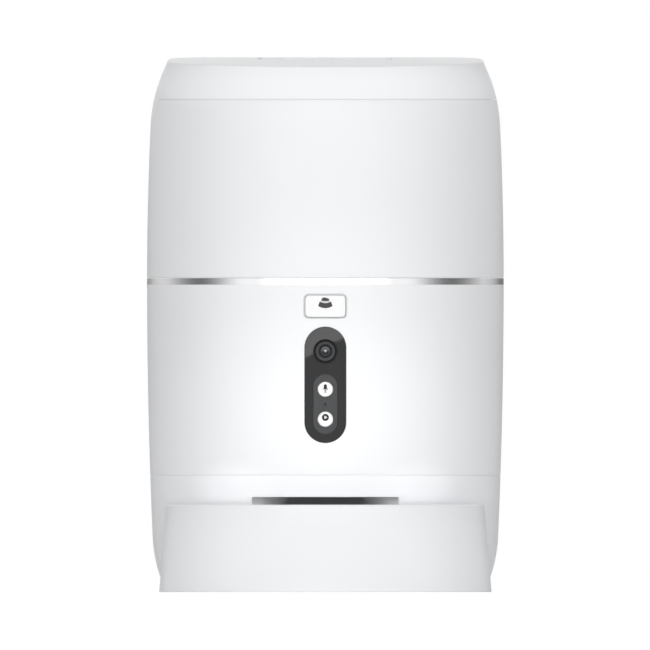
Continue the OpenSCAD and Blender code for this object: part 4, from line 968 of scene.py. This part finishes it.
lid = lid_block("lid_cap", 0.0, lid_low, 0.0, lid_soft)
room = lid_block("lid_room", wall, lid_low - 0.001, wall, room_soft)
pan = sloped_box("grip_pan", grip_half + wall, grip_y0 - wall, grip_y1 + wall, grip_low - wall, grip_high)
alter(room, pan)
alter(lid, room)
alter(lid, sloped_box("grip_tool", grip_half, grip_y0, grip_y1, grip_low, grip_high))
lip_out, lip_seat, lip_t = lid_edge - 0.0075, lid_edge - 0.0018, 0.002
lip_low, lip_high = 0.317, 0.326
plug = [(lip_out, lip_low), (lip_out, lip_high), (lip_seat, lip_high), (lip_seat, lip_high + lip_t),
        (lip_out - lip_t, lip_high + lip_t), (lip_out - lip_t, lip_low)]
alter(lid, band("lid_plug", plug, white_abs), "UNION")
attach(lid, "lid")
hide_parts("lid")
dress(silicone, "lid_seal")
dress(natural_pp, "desiccant_box")

# TRAY
# The pull-out bowl tray in front: white ABS with sloped walls and a rounded rim. Its back follows the base
# casing, two tongues hook into slots there, and a ledge inside carries the bowl.
tray_reach, tray_back = 0.115, -0.060
tray_foot_r, tray_rim_r = 0.1097, 0.1049
tray_h, tray_wall = 0.0576, 0.0032
foot_soft, rim_round = 0.0004, 0.00134
ledge_z = 0.030
# How far cutting tools reach beyond what they cut.
beyond = 0.001
under_z = ledge_z - tray_wall
room_r, room_back = tray_rim_r - tray_wall, tray_back - tray_wall
seat_r = body_r + tuck(tray_h) + 0.0004
bowl_r, bowl_wing, bowl_soft, bowl_gap = 0.0963, -0.095, 0.006, 0.0004
bowl_back_r = seat_r + tray_wall + 0.004


def tray_at(z):
    """Half width of the tray's outer wall at a height."""
    return tray_foot_r + (tray_rim_r - tray_foot_r) * z / tray_h


def half_round(r, count):
    """The front half of an outline, from right to left round the tray's middle."""
    turns = [radians(-180 * i / count) for i in range(count + 1)]
    return [(r * cos(a), -tray_reach + r * sin(a)) for a in turns]


def tray_block(name, line, back):
    """Closed block with a half-round front and a square back, from a line of radii and heights."""
    rings = []
    for r, z in line:
        outline = [(r, back)] + half_round(r, 96) + [(-r, back)]
        rings.append([(x, axis_y + y, z) for x, y in outline])
    return loft(name, rings, white_abs)


def upright(name, points, low, high):
    """Upright prism of an outline in X and Y, measured from the body's axis."""
    return loft(name, [[(x, y + axis_y, z) for x, y in points] for z in (low, high)], white_abs)


def rim_line(r, turn):
    """Upper end of a tray wall, rounded outwards or inwards."""
    return [(r - turn * inset, tray_h - drop) for inset, drop in quarter_round(rim_round, range(0, 91, 15))]


def bowl_plan(grow, soft):
    """Outline of the bowl, grown by a margin: half-round front, hollow back and four softened corners."""
    r, hollow, wing = bowl_r + grow, bowl_back_r - grow, bowl_wing + grow
    meet = sqrt(hollow ** 2 - wing ** 2)
    turn = atan2(meet, -wing)
    arc = [turn * (1 - i / 16) for i in range(33)]
    back = [(-hollow * sin(a), -hollow * cos(a)) for a in arc if abs(a) < turn * 0.93]
    end_x, end_y = hollow * sin(turn * 0.94), -hollow * cos(turn * 0.94)
    bends = [((-r, wing - soft), (-r, wing), (soft - r, wing)),
             ((-meet - soft, wing), (-meet, wing), (-end_x, end_y)),
             ((end_x, end_y), (meet, wing), (meet + soft, wing)),
             ((r - soft, wing), (r, wing), (r, wing - soft))]
    lines = []
    for start, corner, end in bends:
        for i in range(7):
            near, far = (1 - i / 6) ** 2, (i / 6) ** 2
            lines.append([c + (a - c) * near + (b - c) * far for a, c, b in zip(start, corner, end)])
    return half_round(r, 64) + lines[:14] + back + lines[14:]


outer_line = [(tray_foot_r - foot_soft, 0.0), (tray_foot_r - 0.00003, foot_soft)] + rim_line(tray_rim_r, 1)
tray = tray_block("bowl_tray", outer_line, tray_back)
alter(tray, upright("seat_tool", disc_points(seat_r), -beyond, tray_h + beyond))
room_line = [(tray_at(ledge_z) - tray_wall, ledge_z)] + rim_line(room_r, -1)
room_line.append((room_r + rim_round, tray_h + beyond))
room = tray_block("tray_room", room_line, room_back)
under_line = [(tray_foot_r - tray_wall, -beyond), (tray_at(under_z) - tray_wall, under_z)]
under = tray_block("tray_under", under_line, room_back)
back_line = disc_points(seat_r + tray_wall)
alter(under, upright("back_wall_tool", back_line, -2 * beyond, tray_h + 2 * beyond))
alter(tray, room)
alter(tray, under)
bowl_hole = bowl_plan(bowl_gap, bowl_soft)
alter(tray, upright("bowl_tool", bowl_hole, ledge_z - 0.01, ledge_z + 0.01))
tongue_y = axis_y - sqrt((seat_r + tray_wall / 2) ** 2 - (tongue_x + tongue_w / 2) ** 2)
for x in (-tongue_x, tongue_x):
    tongue = [(x + px, pz) for px, pz in rounded(tongue_w, tongue_h, tongue_soft, tongue_z, 3)]
    alter(tray, prism("tongue", tongue, tongue_y, tongue_y + 0.009, white_abs), "UNION")
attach(tray, "tray")
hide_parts("tray")

# BOWL
# A shallow food bowl pressed from stainless sheet, with rounded corners and a flat rim that hangs on the
# tray's ledge. It lifts out for washing.
bowl_low, sheet, press_r, rim_out = 0.006, 0.0012, 0.008, 0.003
least_soft, mouth_soft, rim_soft = 0.0025, 0.001, 0.0004
# Brushed stainless steel: grey, with fine hair lines along the width, drawn 0.5 mm apart so that they show.
stainless, tree, place = finish("stainless_brushed")
drawn = add(tree, "ShaderNodeMapping", {"Scale": (12.0, 1 / 0.0005, 1 / 0.0005)}, Vector=place)
hair = noise(tree, drawn, 1.0, 3.0)
surface(tree, {"Metallic": 1.0}, Base_Color=blend(tree, "#C3C4C6", "#D6D7D8", hair),
        Roughness=spread_out(tree, (0.24, 0.38), hair), Normal=relief(tree, (0.05, 0.0001), hair))
fine, coarse = range(0, 91, 15), range(0, 91, 30)
rim_top = ledge_z + sheet
section = [(-sheet - drop, bowl_low + sheet + inset) for inset, drop in quarter_round(press_r, fine)]
section += [(inset - sheet, rim_top - drop) for inset, drop in quarter_round(mouth_soft, coarse)]
section += [(rim_out - drop, rim_top - inset) for inset, drop in quarter_round(rim_soft, coarse)]
section += [(rim_out, ledge_z), (0.0, ledge_z)]
section += [(-inset, bowl_low + drop) for inset, drop in quarter_round(press_r + sheet, fine)]
rings = []
for grow, z in section:
    outline = bowl_plan(grow, max(least_soft, bowl_soft + 0.4 * grow))
    rings.append([(x, y + axis_y, z) for x, y in outline])
bowl = loft("food_bowl_pressed", rings, stainless)
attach(bowl, "bowl")
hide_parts("bowl")
